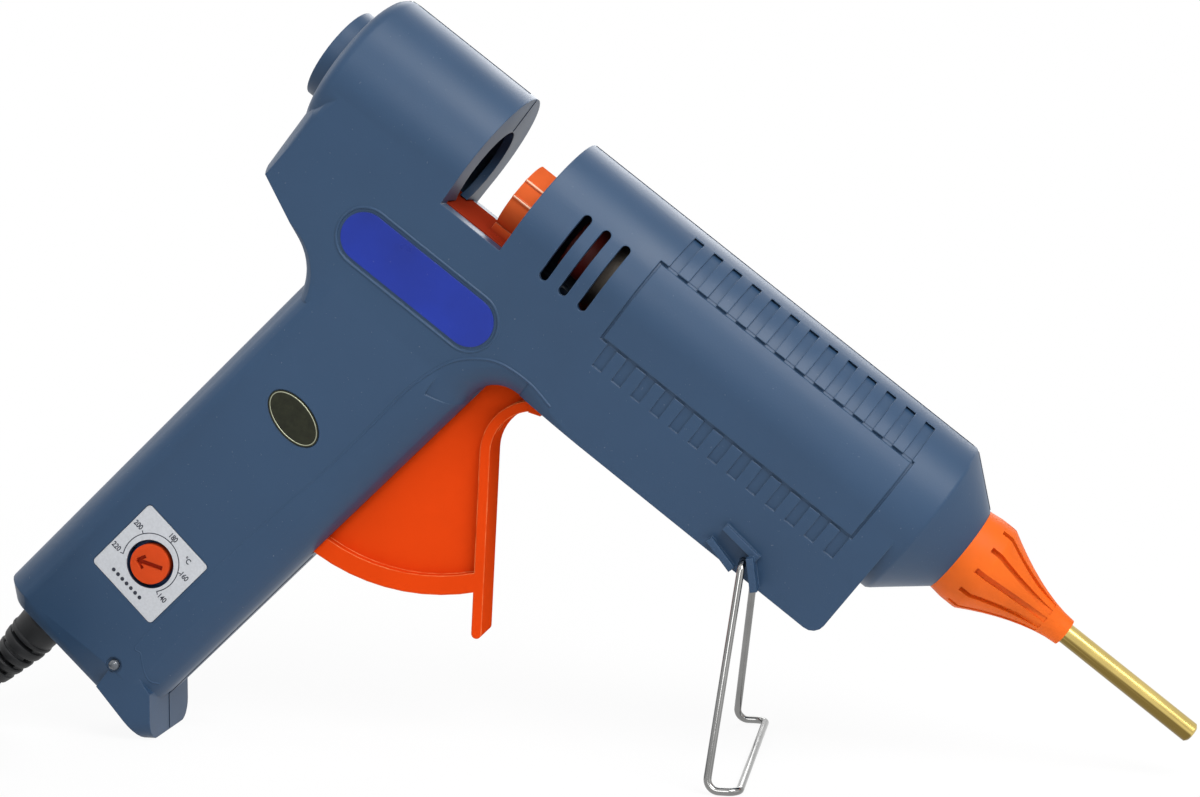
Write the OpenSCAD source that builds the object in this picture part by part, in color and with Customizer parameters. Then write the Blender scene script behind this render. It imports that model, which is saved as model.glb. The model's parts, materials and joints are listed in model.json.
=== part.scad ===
// Hot glue applicator with a feed trigger, a heat dial and a folding bail stand.
// The barrel is drawn along X with its front end at zero and its axis at z = 0.
// The whole applicator is then turned to stand on its heel and its bail at z = 0.

/* [Barrel] */
// Outside radius of the barrel
barrel_r = 25; // [24.5:0.25:26]
// From the front end of the housing to the back of the barrel
barrel_l = 220; // [218:1:224]
// Wall of the housing
wall = 2.5; // [2.2:0.1:2.8]
// Length of the cone at the front
cone_l = 13; // [11:0.5:15]
// Radius of the cone at its front end
front_r = 13.4; // [12.5:0.1:14]
// Rounding of the back edge of the barrel
rear_round = 4; // [3:0.5:6]
// Radius of the collar around the stick inlet
collar_r = 14.3; // [13.5:0.1:15.5]
// How far the collar stands out
collar_l = 5.8; // [4:0.1:7]
// Bore that takes the glue stick
stick_bore = 11.6; // [11:0.1:12]

/* [Skirt] */
// From the axis to the underside of the skirt
skirt_depth = 41.6; // [41.2:0.1:43]
// Half width of the skirt at its underside
skirt_half = 19.5; // [18.5:0.25:20.5]
// From the front end back to the front of the skirt
skirt_front = 17; // [16:0.5:20]
// Rounding of the front corner of the skirt
skirt_round = 4; // [2:0.5:6]

/* [Feed slot] */
// From the front end back to the front face of the slot
slot_front = 151; // [150.5:0.5:152]
// Length of the slot along the barrel
slot_l = 21; // [20:0.5:22]
// From the axis down to the floor of the slot
slot_floor = 12; // [11.8:0.1:12.4]
// Radius of the tunnel behind the slot
tunnel_r = 13.2; // [12.5:0.1:14]

/* [Vents and ribs] */
// From the front end back to the middle vent
vent_back = 130.2; // [129.5:0.1:131]
// Spacing of the vents
vent_pitch = 6.75; // [6:0.25:7]
// Number of vents on each side
vent_n = 3; // [1:1:3]
// Width of a vent
vent_w = 2.8; // [2:0.1:3.2]
// Length of a vent over its round ends
vent_l = 22; // [16:0.5:23]
// Length of the bare panel on the side of the barrel
panel_l = 88; // [80:1:92]
// Height of the bare panel
panel_h = 27; // [24:0.5:28]
// From the front end back to the front of the panel
panel_front = 26.3; // [24:0.1:28]
// Width and depth of the groove around the panel
groove = 0.8; // [0.4:0.1:1]
// Number of ribs in each row beside the panel
rib_n = 13; // [6:1:13]
// Depth of the gaps between the ribs
rib_depth = 0.7; // [0.3:0.05:0.75]
// Width of the gap between two ribs
rib_gap = 3.2; // [1.5:0.1:4]

/* [Grip] */
// Lean of the grip from square to the barrel
grip_rake = 8.4; // [7.5:0.1:9]
// Depth of the grip from front to back
grip_depth = 57.7; // [56:0.1:60]
// From the front end back to the rear of the grip, at the top of the grip
grip_back = 190.9; // [190:0.1:192]
// From the axis down to the top of the grip
grip_top = 50; // [48:0.5:51]
// From the axis down to the lower end of the straight grip
grip_end = 182; // [180:0.5:184]
// Half width of the grip at its lower end
grip_half = 16.2; // [15.5:0.1:17]
// Rounding of the back edges of the grip
back_round = 10; // [8:0.5:11]
// Radius of the throat above the trigger
throat_r = 10.5; // [9.5:0.5:12]
// Slope of the butt of the grip
butt_slope = 7; // [5:0.5:9]
// Width of the heel
heel_w = 32; // [28:0.5:32]
// Width of the flat of the heel that stands on the table
heel_flat = 3.4; // [2.5:0.1:5]

/* [Stance] */
// Angle of the barrel to the table
tilt = 37.6; // [37:0.1:38.5]

/* [Trigger] */
// From the front end back to the trigger pin
trigger_back = 146; // [145.5:0.1:146.5]
// From the axis down to the trigger pin
trigger_drop = 55.7; // [55.2:0.1:56.2]
// Radius of the trigger pin
pin_r = 2.5; // [2:0.1:3]
// Outer radius of the trigger rim about the pin
rim_r = 62.5; // [61.5:0.25:63]
// Thickness of the trigger rim
rim_t = 5.6; // [4:0.1:7]
// Width of the finger bar and the rim
trigger_w = 14; // [12:0.5:14.5]
// Width of the trigger web
web_w = 8; // [6:0.5:9]
// Thickness of the finger bar
bar_t = 3; // [2.6:0.1:3.6]
// Length of the straight finger bar
bar_l = 53; // [50:0.5:56]
// Travel of the trigger in degrees
trigger_travel = 26; // [20:1:26]
// Radial clearance of a turning fit
turn_fit = 0.06; // [0.02:0.01:0.1]
// Clearance of a sliding fit
slide_fit = 0.4; // [0.3:0.05:0.5]

/* [Feed carriage] */
// Outer radius of the feed collar
feed_r = 10.9; // [10.7:0.1:11.3]
// Length of the feed collar
feed_l = 16; // [15:0.5:17]
// How far the collar shows behind the front face of the slot
feed_shows = 8.2; // [8:0.1:9]
// Thickness of the feed plate
plate_t = 2.7; // [2.2:0.1:3]
// Width of the feed plate
plate_w = 32; // [30:0.5:33]
// Length of the feed plate behind the collar
plate_l = 35; // [33:0.5:36]
// From the axis down to the drive pin
drive_drop = 20; // [19.5:0.1:20.5]

/* [Heater] */
// Radius of the melt chamber
chamber_r = 13; // [12:0.5:14]
// From the front end back to the rear flange of the chamber
chamber_back = 126; // [125.5:0.1:126.5]
// Radius of the rear flange
flange_r = 16; // [15:0.5:17]
// Outer radius of the stick sleeve
sleeve_r = 8.5; // [8:0.1:8.8]
// Length of the stick sleeve behind the flange
sleeve_l = 12.5; // [12:0.1:12.5]
// Length of the heating element
element_l = 58; // [40:1:60]

/* [Nozzle] */
// Radius of the brass tube
tube_r = 3; // [2.5:0.1:3.4]
// From the front end of the housing to the tip of the tube
tip_l = 81.5; // [76:0.5:90]
// Diameter of the outlet
outlet_d = 2.5; // [1.5:0.1:3]
// Length of the nozzle cover
cover_l = 37; // [35:0.5:39]
// Number of flutes in the cover
flute_n = 12; // [8:1:14]

/* [Stand] */
// Diameter of the stand wire
wire_d = 2.2; // [2:0.1:2.4]
// From the front end back to the stand pivot
stand_back = 45.2; // [43:0.1:47]
// From the axis down to the stand pivot
stand_drop = 37.6; // [37:0.1:38.2]
// Backward lean of the legs
leg_lean = 7.6; // [5:0.1:9]
// Width of the foot over the middles of its legs
foot_w = 80; // [74:1:84]
// Length of the foot from leg to cross bar
foot_l = 9.5; // [9:0.1:11]

/* [Dial] */
// Side of the dial plate
dial_plate_w = 25; // [23:0.1:27]
// Radius of the dial knob
knob_r = 5.9; // [5.5:0.1:6.2]
// Radius of the hole around the knob
knob_hole_r = 7.2; // [6.8:0.1:7.4]
// Radius of the lamp lens
lens_r = 1.6; // [1.4:0.1:2]

/* [Labels] */
// Length of the rating plate
rating_l = 52; // [46:0.5:54]
// Width of the rating plate
rating_w = 14.5; // [12:0.5:16]
// Long axis of the oval badge
badge_l = 19; // [16:0.5:20]
// Thickness of the plates and the badge
plate_thin = 0.5; // [0.4:0.1:0.8]

/* [Cord] */
// Diameter of the cord
cord_d = 6.4; // [6:0.1:6.8]
// Length of the strain relief outside the butt
boot_l = 27; // [25:0.5:29]
// Radius of the strain relief at the butt
boot_r = 8.3; // [7.5:0.1:9]
// Turns in each layer of the coil
coil_turns = 3; // [2:1:3]
// Inner radius of the coil at the middle of the cord
coil_in = 26.4; // [26:0.1:28]
// Diameter of a plug pin
plug_pin_d = 4; // [3.8:0.1:4.8]

/* [Hidden] */
$fn = 48;
eps = 0.02;

slate = "#3d5673";
orange = "#e2501a";
steel = "#b9bcbf";
brass = "#b99b4e";
alloy = "#c6c9cc";
black = "#26282b";

// Frame of the standing applicator
function turned(p) = [p[0] * cos(tilt) + p[1] * sin(tilt), p[1] * cos(tilt) - p[0] * sin(tilt)];
function unturned(p) = [p[0] * cos(tilt) - p[1] * sin(tilt), p[1] * cos(tilt) + p[0] * sin(tilt)];

// Side planes and edges of the body, from the height z
slope_up = (barrel_r - skirt_half) / skirt_depth;
half_top = skirt_half + (skirt_depth - grip_top) * slope_up;
slope_low = (half_top - grip_half) / (grip_end - grip_top);
function side_up(z) = barrel_r + z * slope_up;
function side_low(z) = half_top + (z + grip_top) * slope_low;
function side(z) = z > -grip_top ? side_up(z) : side_low(z);
function grip_rear(z) = -grip_back + (z + grip_top) * tan(grip_rake);
function grip_front(z) = grip_rear(z) + grip_depth;
function unit(v) = v / norm(v);
function arc(c, r, a0, a1, n = 8) =
    [for (i = [0:n]) let (a = a0 + (a1 - a0) * i / n) c + r * [cos(a), sin(a)]];

// Heel: its flat lies on the table, its front stands square on the table
butt_inset = 4;
butt_mid = [(grip_rear(-grip_end) + grip_front(-grip_end)) / 2 + 2, -grip_end - 7.6];
function butt_z(x) = butt_mid[1] - (x - butt_mid[0]) * tan(butt_slope);
heel_out = 6.4;
heel_edge = 6;
heel_tip = [grip_front(-grip_end) + heel_out, butt_z(grip_front(-grip_end) + heel_out) + 1.7];
heel_back = heel_tip - heel_flat * [cos(tilt), sin(tilt)];
heel_top = heel_tip + 14 * [-sin(tilt), cos(tilt)];
floor_h = turned(heel_tip)[1];

// Extent of the standing applicator along the table
tip_bevel = 0.6;
butt_corner = [grip_rear(-grip_end), -grip_end];
back_end = turned(butt_corner)[0];
front_end = turned([tip_l, tube_r - tip_bevel])[0];
place_x = -(back_end + front_end) / 2;
place_z = -floor_h;
function stands(p) = [turned(p)[0] + place_x, turned(p)[1] + place_z];

// Throat above the trigger
throat_z = -skirt_depth - throat_r;
sunk = 0.6;
lip_fall = 14;
throat = [grip_front(throat_z) + throat_r - sunk, throat_z];
opening_half = trigger_w / 2 + slide_fit + 0.2;
side_lean = atan(slope_up);
lip = side_up(throat_z) * cos(side_lean) - opening_half;
front_round = lip;

// Saddle between the barrel and the back of the grip
saddle_r = 15.2;
saddle_z = -grip_top - 9.8;
saddle = [grip_rear(saddle_z) - saddle_r + 1.9, saddle_z];
saddle_edge = 8;
saddle_half = 10.4;

// Feed slot, plate and drive
slot_rear = slot_front + slot_l;
plate_top = -slot_floor + 0.4;
plate_low = plate_top - plate_t;
rail_top = plate_low - slide_fit;
rail_low = rail_top - 2.6;
rail_half = plate_w / 2 - 2.5;
plate_hole = plate_w / 2 + slide_fit;
neck_half = 7;
trigger_at = [-trigger_back, -trigger_drop];
arm = trigger_drop - drive_drop;
drive_rest = -trigger_back - arm * tan(trigger_travel / 2);
feed_travel = 2 * arm * tan(trigger_travel / 2);
feed_rear = -slot_front - feed_shows;
feed_wall = 3;
drive_r = 2.4;
pin_half = side(-trigger_drop) - wall - 1;
bar_dir = [cos(-55.1), sin(-55.1)];
neck_r = 12.7;
neck = trigger_at + [36, 1.1];

// Stand
wire_r = wire_d / 2;
pivot = [-stand_back, -stand_drop];
pivot_s = turned(pivot);
leg_h = pivot_s[1] - floor_h - wire_r;
foot_rear = unturned([pivot_s[0] - leg_h * tan(leg_lean), floor_h + wire_r]);
foot_front = unturned([pivot_s[0] - leg_h * tan(leg_lean) + foot_l, floor_h + wire_r]);
ear_out = side_up(-stand_drop) + 2.6;
leg_out = ear_out + wire_r + 1.6;
leg_angle = tilt + leg_lean - 90;

// Dial, lamp, plates and board on the right side of the grip
arrow_turn = 20.4;
dial_at = [-177.8, -149.2];
lamp_at = [-168.6, -180.6];
rating_at = [-165, -33.4];
rating_margin = 2;
badge_at = [-169.7, -87.8];
board_depth = 12;
board_at = [-179.5, -140];
board_l = 36;
board_h = 40;
board_t = 1.6;
screw_at = [[-207, -27], [-181, -54], [-24, -34], [-96, -34], [-187, -112], [-166, -168]];
post_r = 3.6;
screw_r = 1.4;
head_r = 2.9;
head_y = 8;

// Cord: strain relief, free stretch, coil beside the butt and plug
cord_r = cord_d / 2;
boot_x = -195.5;
boot_base = [boot_x, butt_z(boot_x) + 1];
boot_turn = butt_slope;
boot_dir = [-sin(boot_turn), -cos(boot_turn)];
boot_tip = boot_base + (boot_l + 1) * boot_dir;
clamp_in = 19;
clamp_half = 11;
clamp_at = boot_base - clamp_in * boot_dir;
layer_h = cord_d + 0.6;
turn_gap = cord_d + 0.6;
coil_out = coil_in + coil_turns * turn_gap;
coil_z = cord_r + 1;
coil_at = [-218, -coil_out];
lead_turn = 180;
plug_l = 36;
plug_h = 14;
plug_pitch = 18.6;
plug_pin_l = 19;
lead_in = 14;
lead_up = layer_h + 0.6;

module slab(half) {
    rotate([90, 0, 0])
        linear_extrude(2 * half, center = true)
            children();
}

module along(x0, x1) {
    translate([x0, 0, 0])
        rotate([90, 0, 90])
            linear_extrude(x1 - x0)
                children();
}

module revolve() {
    rotate([0, 90, 0])
        rotate_extrude($fn = 96)
            children();
}

module block(x0, x1, half, z0, z1) {
    translate([x0, -half, z0])
        cube([x1 - x0, 2 * half, z1 - z0]);
}

module across(p, r, y0, y1) {
    translate([p[0], y1, p[1]])
        rotate([90, 0, 0])
            cylinder(r = r, h = y1 - y0);
}

module barrel_rod(r, x0, x1) {
    translate([x0, 0, 0])
        rotate([0, 90, 0])
            cylinder(r = r, h = x1 - x0, $fn = 96);
}

module place() {
    translate([place_x, 0, place_z])
        rotate([0, tilt, 0])
            children();
}

// Local frame on the right side of the body, with -y pointing out of the surface
module on_side(p, slope, turn = 0) {
    translate([p[0], -side(p[1]), p[1]])
        rotate([atan(slope), 0, 0])
            rotate([0, turn, 0])
                children();
}

module half_space(right) {
    translate([-300, right ? -60 : 0, -260])
        cube([400, 60, 320]);
}

// Housing

module barrel_profile() {
    polygon(concat(
        [[0, -barrel_l]],
        arc([barrel_r - rear_round, -barrel_l + rear_round], rear_round, -90, 0, 5),
        [[barrel_r, -cone_l - 1], [barrel_r - 0.6, -cone_l], [front_r, 0], [0, 0]]
    ));
}

module body_side() {
    beak = [-barrel_l + 3.8, -34.5];
    polygon(concat(
        [[-barrel_l + 1.2, -5]],
        arc(beak, 3, 180, 244, 4),
        arc(saddle, saddle_r, 64, 0, 8),
        [[grip_front(throat_z - 1) - 3, throat_z - 1]],
        arc(throat, throat_r, 180, 90, 8),
        arc([-skirt_front - skirt_round, -skirt_depth + skirt_round], skirt_round, -90, 0, 4),
        [[-skirt_front, -5]]
    ));
}

module wedge(inset) {
    along(-barrel_l - 10, 0)
        polygon([
            [side_up(-3) - inset, -3], [side_up(-70) - inset, -70],
            [inset - side_up(-70), -70], [inset - side_up(-3), -3]
        ]);
}

module plan_round() {
    r = 12;
    x = -barrel_l + 0.3 + r;
    translate([0, 0, -75])
        linear_extrude(80)
            polygon(concat(
                arc([x, barrel_r - r], r, 180, 90, 5),
                [[0, barrel_r], [0, -barrel_r]],
                arc([x, r - barrel_r], r, -90, -180, 5)
            ));
}

module lower_body() {
    difference() {
        intersection() {
            slab(40)
                body_side();
            wedge(0);
            plan_round();
        }
        edge_form(saddle, saddle_r, saddle_half, saddle_edge, saddle_edge, -8, 112);
    }
}

// Rounded grip: two sections and a smaller one at the butt, joined smoothly
module grip_form(inset) {
    b = butt_inset + inset;
    hull() {
        for (z = [-grip_top + 10, -grip_end], s = [-1, 1]) {
            translate([grip_rear(z) + back_round, s * (side_low(z) - back_round), z])
                cylinder(r = back_round - inset, h = eps, $fn = 32);
            translate([grip_front(z) - front_round, s * (side_low(z) - front_round), z])
                cylinder(r = front_round - inset, h = eps, $fn = 32);
        }
        for (x = [butt_corner[0] + back_round, grip_front(-grip_end) - front_round], s = [-1, 1]) {
            r = x < butt_mid[0] ? back_round - b : front_round - b;
            y = grip_half - (x < butt_mid[0] ? back_round : front_round);
            translate([x, s * y, butt_z(x) + inset])
                rotate([0, butt_slope, 0])
                    cylinder(r = r, h = eps, $fn = 32);
        }
    }
}

// Heel with its lower edges rounded across the table
module heel() {
    h = heel_w / 2 - heel_edge;
    z = heel_edge - 0.1;
    intersection() {
        slab(heel_w / 2 + 1)
            polygon([
                heel_tip, heel_back, [heel_back[0] - 20, butt_z(heel_back[0] - 20) + 1.5],
                [heel_back[0] - 20, -grip_end + 6], heel_top
            ]);
        rotate([0, -tilt, 0])
            translate([0, 0, floor_h])
                along(-300, 40)
                    polygon(concat(
                        arc([h, z], heel_edge, -90, 0, 6),
                        [[heel_w / 2, 60], [-heel_w / 2, 60]],
                        arc([-h, z], heel_edge, 180, 270, 6)
                    ));
    }
}

// Ring that takes the sharp edge off both sides of a round inner corner
module edge_form(c, r, y0, e, core, a0, a1) {
    for (m = [0, 1])
        mirror([0, m, 0])
            translate([c[0], 0, c[1]])
                rotate([side_lean + 90, 0, 0])
                    rotate([0, 0, a0])
                        rotate_extrude(angle = a1 - a0)
                            edge_section(r - 0.2, y0, e, core);
}

module edge_section(r, y0, e, core) {
    difference() {
        translate([r - 2, y0])
            square([e + 2, 20]);
        translate([r + e, y0])
            circle(r = core);
    }
}

// Rolled lip of the throat, running out along the underside of the skirt
module lip_cut(core) {
    edge_form(throat, throat_r, opening_half + 0.2, lip, core, 86, 190);
    for (m = [0, 1])
        mirror([0, m, 0])
            translate([throat[0] - 3, 0, throat[1]])
                rotate([side_lean + 90, 0, 0])
                    rotate([0, 0, -lip_fall])
                        rotate([90, 0, 90])
                            linear_extrude(46)
                                edge_section(throat_r - 0.2, opening_half + 0.2, lip, core);
}

module cavity() {
    inner = barrel_r - wall;
    barrel_rod(inner, -slot_front + wall, -skirt_front);
    revolve()
        polygon([
            [0, -skirt_front - 1], [inner, -skirt_front - 1], [inner - 0.6, -cone_l],
            [front_r - wall, -wall], [0, -wall]
        ]);
    barrel_rod(inner, -barrel_l + wall, -slot_rear - wall);
    difference() {
        intersection() {
            slab(40)
                offset(delta = -wall)
                    body_side();
            wedge(wall);
            union() {
                block(-barrel_l, -slot_front + wall + 1, 50, -90, rail_low);
                block(-slot_front + wall, 0, 50, -90, -4);
            }
        }
        edge_form(saddle, saddle_r, saddle_half, saddle_edge, saddle_edge - wall, -8, 112);
        lip_cut(lip - wall);
    }
    grip_form(wall);
}

module trigger_room() {
    intersection() {
        across(trigger_at, rim_r + 0.9, -opening_half, opening_half);
        block(-trigger_back - 20, -60, 40, -140, -skirt_depth - 1);
    }
    across(trigger_at, 33.4, -opening_half, opening_half);
}

module slot_cut() {
    block(-slot_rear, -slot_front, 40, -slot_floor, 40);
    barrel_rod(tunnel_r, -slot_rear - wall - 1, -slot_rear + 1);
    barrel_rod(feed_r + slide_fit + 0.3, -slot_front - 1, -slot_front + wall + 1);
    block(-slot_rear - wall - 1, -slot_front + wall + 1, plate_hole, rail_top, plate_top + slide_fit);
    block(-slot_rear - wall - 1, -slot_front + wall + 1, rail_half, rail_low - 1, plate_top);
    block(-slot_front - 1, -slot_front + wall + 1, neck_half + slide_fit, plate_top, -feed_r + 2.4);
}

module vent_cut() {
    flat = vent_l / 2 - vent_w / 2;
    for (i = [0:vent_n - 1]) {
        x = -vent_back + (i - (vent_n - 1) / 2) * vent_pitch;
        block(x - vent_w / 2, x + vent_w / 2, 40, -flat, flat);
        for (s = [-1, 1])
            across([x, s * flat], vent_w / 2, -40, 40);
    }
}

// Two rows of shallow gaps that leave ribs standing beside the panel
module rib_rows() {
    pitch = panel_l / rib_n;
    half = rib_gap / 2;
    edge = panel_h / 2;
    for (i = [0:rib_n - 1]) {
        x = -panel_front - pitch * (i + 0.35);
        difference() {
            block(x - half, x + half, barrel_r + 1, edge - groove / 2, edge + 9.5);
            barrel_rod(barrel_r - rib_depth, x - 3, x + 3);
        }
        intersection() {
            block(x - half, x + half, barrel_r + 1, -edge - 7.5, groove / 2 - edge);
            difference() {
                wedge(-2);
                wedge(rib_depth);
            }
        }
    }
}

module panel_groove() {
    mid = -panel_front - panel_l / 2;
    difference() {
        translate([mid - panel_l / 2, -40, -panel_h / 2])
            cube([panel_l, 40, panel_h]);
        translate([mid - panel_l / 2 + groove, -50, -panel_h / 2 + groove])
            cube([panel_l - 2 * groove, 60, panel_h - 2 * groove]);
        barrel_rod(barrel_r - groove, -panel_front - panel_l - 5, -panel_front + 5);
        wedge(groove);
    }
}

// Raised guides beside the stand pivot, with a stop in front of the leg
module stand_ear(s) {
    y0 = side_up(-stand_drop) - 1.1;
    mirror([0, s > 0 ? 0 : 1, 0]) {
        ear_rib(pivot + [-10, 4.7], pivot + [2.6, 3.3], y0);
        ear_rib(pivot + [-11.3, -0.8], pivot + [-1.2, -3.5], y0);
        translate([pivot[0], y0, pivot[1]])
            rotate([0, -leg_angle, 0])
                translate([-1.6, 0, wire_r + 0.3])
                    cube([9.4, leg_out + 1 - y0, 2]);
    }
}

module ear_rib(a, b, y0) {
    d = unit(b - a);
    n = [-d[1], d[0]];
    translate([0, ear_out, 0])
        rotate([90, 0, 0])
            linear_extrude(ear_out - y0)
                polygon([a + n, a - n, b - n, b + n]);
}

module posts(right) {
    for (p = screw_at) {
        y = side(p[1]) - wall / 2;
        across(p, right ? post_r : post_r + 1, right ? -y : 0, right ? 0 : y);
    }
}

module screw_holes() {
    for (p = screw_at) {
        across(p, screw_r + 0.02, -9, 4);
        across(p, screw_r + 0.2, 0, head_y + 1);
        across(p, head_r + 0.3, head_y, 40);
    }
}

module pivot_bosses() {
    y = side(-trigger_drop) - wall / 2;
    across(trigger_at, pin_r + 3, web_w / 2 + slide_fit, y);
    across(trigger_at, pin_r + 3, -y, -web_w / 2 - slide_fit);
}

module clamp_pads() {
    y = side(clamp_at[1]) - wall / 2;
    across(clamp_at, 5, clamp_half, y);
    across(clamp_at, 5, -y, -clamp_half);
}

module board_posts() {
    on_side(board_at, slope_low, grip_rake)
        for (x = [-1, 1], z = [-1, 1])
            across([x * (board_l / 2 - 3), z * (board_h / 2 - 3)], 2.2, wall / 2, board_depth - eps);
}

module rails() {
    for (s = [-1, 1])
        for (x = [[-203, -slot_rear - 1], [-slot_front + 1, -slot_front + 25]])
            translate([x[0], s > 0 ? rail_half : -side_up(rail_low) + wall / 2, rail_low])
                cube([x[1] - x[0], side_up(rail_low) - wall / 2 - rail_half, rail_top - rail_low]);
}

module housing_half(right) {
    intersection() {
        difference() {
            union() {
                difference() {
                    union() {
                        revolve()
                            barrel_profile();
                        barrel_rod(collar_r, -barrel_l - collar_l, -barrel_l + 2);
                        lower_body();
                        grip_form(0);
                        heel();
                    }
                    cavity();
                    lip_cut(lip);
                }
                posts(right);
                pivot_bosses();
                clamp_pads();
                rails();
                stand_ear(right ? -1 : 1);
                if (right)
                    board_posts();
            }
            slot_cut();
            vent_cut();
            rib_rows();
            trigger_room();
            screw_holes();
            across(trigger_at, pin_r + 0.02, -pin_half, pin_half);
            across(pivot, wire_r + turn_fit, -40, 40);
            barrel_rod(stick_bore / 2, -barrel_l - collar_l - 1, -barrel_l + wall + 1);
            barrel_rod(7, -skirt_front - 1, 1);
            boot_seat();
            if (right)
                right_side_cuts();
        }
        half_space(right);
    }
}

module boot_seat() {
    translate([boot_base[0], 0, boot_base[1]])
        rotate([0, boot_turn, 0])
            translate([0, 0, -6])
                cylinder(r = boot_r - 2.2, h = 20);
}

module right_side_cuts() {
    panel_groove();
    on_side(rating_at, slope_up)
        pill(rating_l + rating_margin, rating_w + rating_margin, plate_thin - 0.2);
    on_side(badge_at, slope_low, 13)
        oval(badge_l + 0.4, 0.3);
    on_side(dial_at, slope_low, grip_rake)
        square_plate(dial_plate_w + 0.4, 0.3);
    on_side(dial_at, slope_low)
        across([0, 0], knob_hole_r, -5, 8);
    on_side(lamp_at, slope_low) {
        across([0, 0], lens_r + 0.1, -5, 8);
        across([0, 0], lens_r + 0.8, -5, 0.6);
    }
}

module pill(l, w, depth) {
    flat = l / 2 - w / 2;
    translate([-flat, -2, -w / 2])
        cube([2 * flat, 2 + depth, w]);
    for (s = [-1, 1])
        across([s * flat, 0], w / 2, -2, depth);
}

module oval(l, depth) {
    translate([0, depth, 0])
        rotate([90, 0, 0])
            linear_extrude(depth + 2)
                polygon([for (a = [0:9:351]) l / 2 * [cos(a), 0.58 * sin(a)]]);
}

module square_plate(w, depth) {
    r = 1.2;
    for (s = [-1, 1], t = [-1, 1])
        across([s * (w / 2 - r), t * (w / 2 - r)], r, -2, depth);
    translate([-w / 2 + r, -2, -w / 2])
        cube([w - 2 * r, 2 + depth, w]);
    translate([-w / 2, -2, -w / 2 + r])
        cube([w, 2 + depth, w - 2 * r]);
}

module keep_proud(proud) {
    intersection() {
        children();
        translate([-60, -proud, -60])
            cube([120, 40, 120]);
    }
}

module housing_right() {
    color(slate)
        place()
            housing_half(true);
}

module housing_left() {
    color(slate)
        place()
            housing_half(false);
}

// Trigger: hub, web, rim, curved finger bar, guard inside the throat and drive fork

module ring_part(c, r0, r1, a0, a1) {
    polygon(concat(arc(c, r1, a0, a1, 12), arc(c, r0, a1, a0, 12)));
}

module finger_bar() {
    side_dir = [bar_dir[1], -bar_dir[0]];
    top = neck + neck_r * [cos(215.1), sin(215.1)];
    end = top + bar_l * bar_dir;
    ring_part(neck, neck_r, neck_r + bar_t, 122, 215.1);
    polygon([top, end, end + bar_t * side_dir, top + bar_t * side_dir]);
    translate(end + bar_t / 2 * side_dir)
        circle(r = bar_t / 2);
}

module trigger() {
    guard_r = norm(neck + neck_r * [cos(122), sin(122)] - trigger_at);
    rim_in = rim_r - rim_t;
    fork = trigger_travel / 2 + 90;
    fork_l = arm + 3.4;
    color(orange)
        place()
            difference() {
                union() {
                    slab(trigger_w / 2) {
                        finger_bar();
                        ring_part(trigger_at, rim_in, rim_r, -102, -40.3);
                        ring_part(trigger_at, guard_r - 2.6, guard_r + 1, 20, 62);
                    }
                    slab(web_w / 2) {
                        polygon(concat([trigger_at], arc(trigger_at, rim_in + 1, -102, -40, 10)));
                        polygon(concat([trigger_at], arc(trigger_at, guard_r - 1, 21, 60, 6)));
                        polygon([trigger_at, trigger_at + (rim_in + 1) * [cos(-40.5), sin(-40.5)],
                            neck + (neck_r + 1) * [cos(205), sin(205)],
                            neck + (neck_r + 2) * [cos(150), sin(150)],
                            trigger_at + guard_r * [cos(22), sin(22)]]);
                        translate(trigger_at)
                            rotate(fork)
                                translate([0, -6.2])
                                    square([fork_l, 12.4]);
                    }
                    across(trigger_at, pin_r + 4, -web_w / 2, web_w / 2);
                }
                across(trigger_at, pin_r + turn_fit, -20, 20);
                slab(20)
                    translate(trigger_at)
                        rotate(fork)
                            translate([arm - 5, -drive_r - 0.35])
                                square([20, 2 * drive_r + 0.7]);
            }
}

module trigger_pin() {
    y = side(-trigger_drop) - wall - 1.2;
    color(steel)
        place()
            across(trigger_at, pin_r, -y, y);
}

// Torsion spring around the right boss of the trigger, drawn as its wound body
module return_spring() {
    y0 = web_w / 2 + slide_fit + 0.8;
    color(steel)
        place()
            difference() {
                across(trigger_at, pin_r + 5, y0, y0 + 5);
                across(trigger_at, pin_r + 3.4, 0, 20);
            }
}

// Feed carriage: collar that slides over the stick sleeve, plate and two drive lugs

module feed_carriage() {
    lug_y = web_w / 2 + 1.2;
    lug_t = 3.2;
    color(orange)
        place()
            difference() {
                union() {
                    barrel_rod(feed_r, feed_rear, feed_rear + feed_l);
                    block(feed_rear - plate_l, feed_rear + feed_l, plate_w / 2, plate_low, plate_top);
                    block(feed_rear, feed_rear + feed_l, neck_half, plate_low, -feed_r + 2);
                    for (s = [0, 1])
                        mirror([0, s, 0])
                            translate([drive_rest - 4.4, lug_y, -drive_drop - 4])
                                cube([8.8, lug_t, drive_drop + 4 + plate_low + 1]);
                    for (a = [56, 86])
                        rotate([a, 0, 0])
                            translate([feed_rear, -0.5, feed_r - 0.3])
                                cube([feed_l, 1, 0.7]);
                }
                barrel_rod(stick_bore / 2 + 0.2, feed_rear - 1, feed_rear + feed_wall + 1);
                barrel_rod(sleeve_r + 0.6, feed_rear + feed_wall, feed_rear + feed_l + 1);
                across([drive_rest, -drive_drop], drive_r + 0.02, -20, 20);
            }
}

module drive_pin() {
    y = web_w / 2 + 4.4;
    color(steel)
        place()
            across([drive_rest, -drive_drop], drive_r, -y, y);
}

// Toothed spring leaf in the collar that bites the stick on the way forward
module stick_grip() {
    color(steel)
        place()
            translate([feed_rear + feed_wall + 0.1, -3, -sleeve_r - 0.05])
                difference() {
                    cube([0.8, 6, 3.2]);
                    for (i = [0:2])
                        translate([-1, 1 + 1.6 * i, 2.5])
                            cube([3, 0.8, 2]);
                }
}

// Melt chamber and what feeds, heats and holds it

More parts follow.
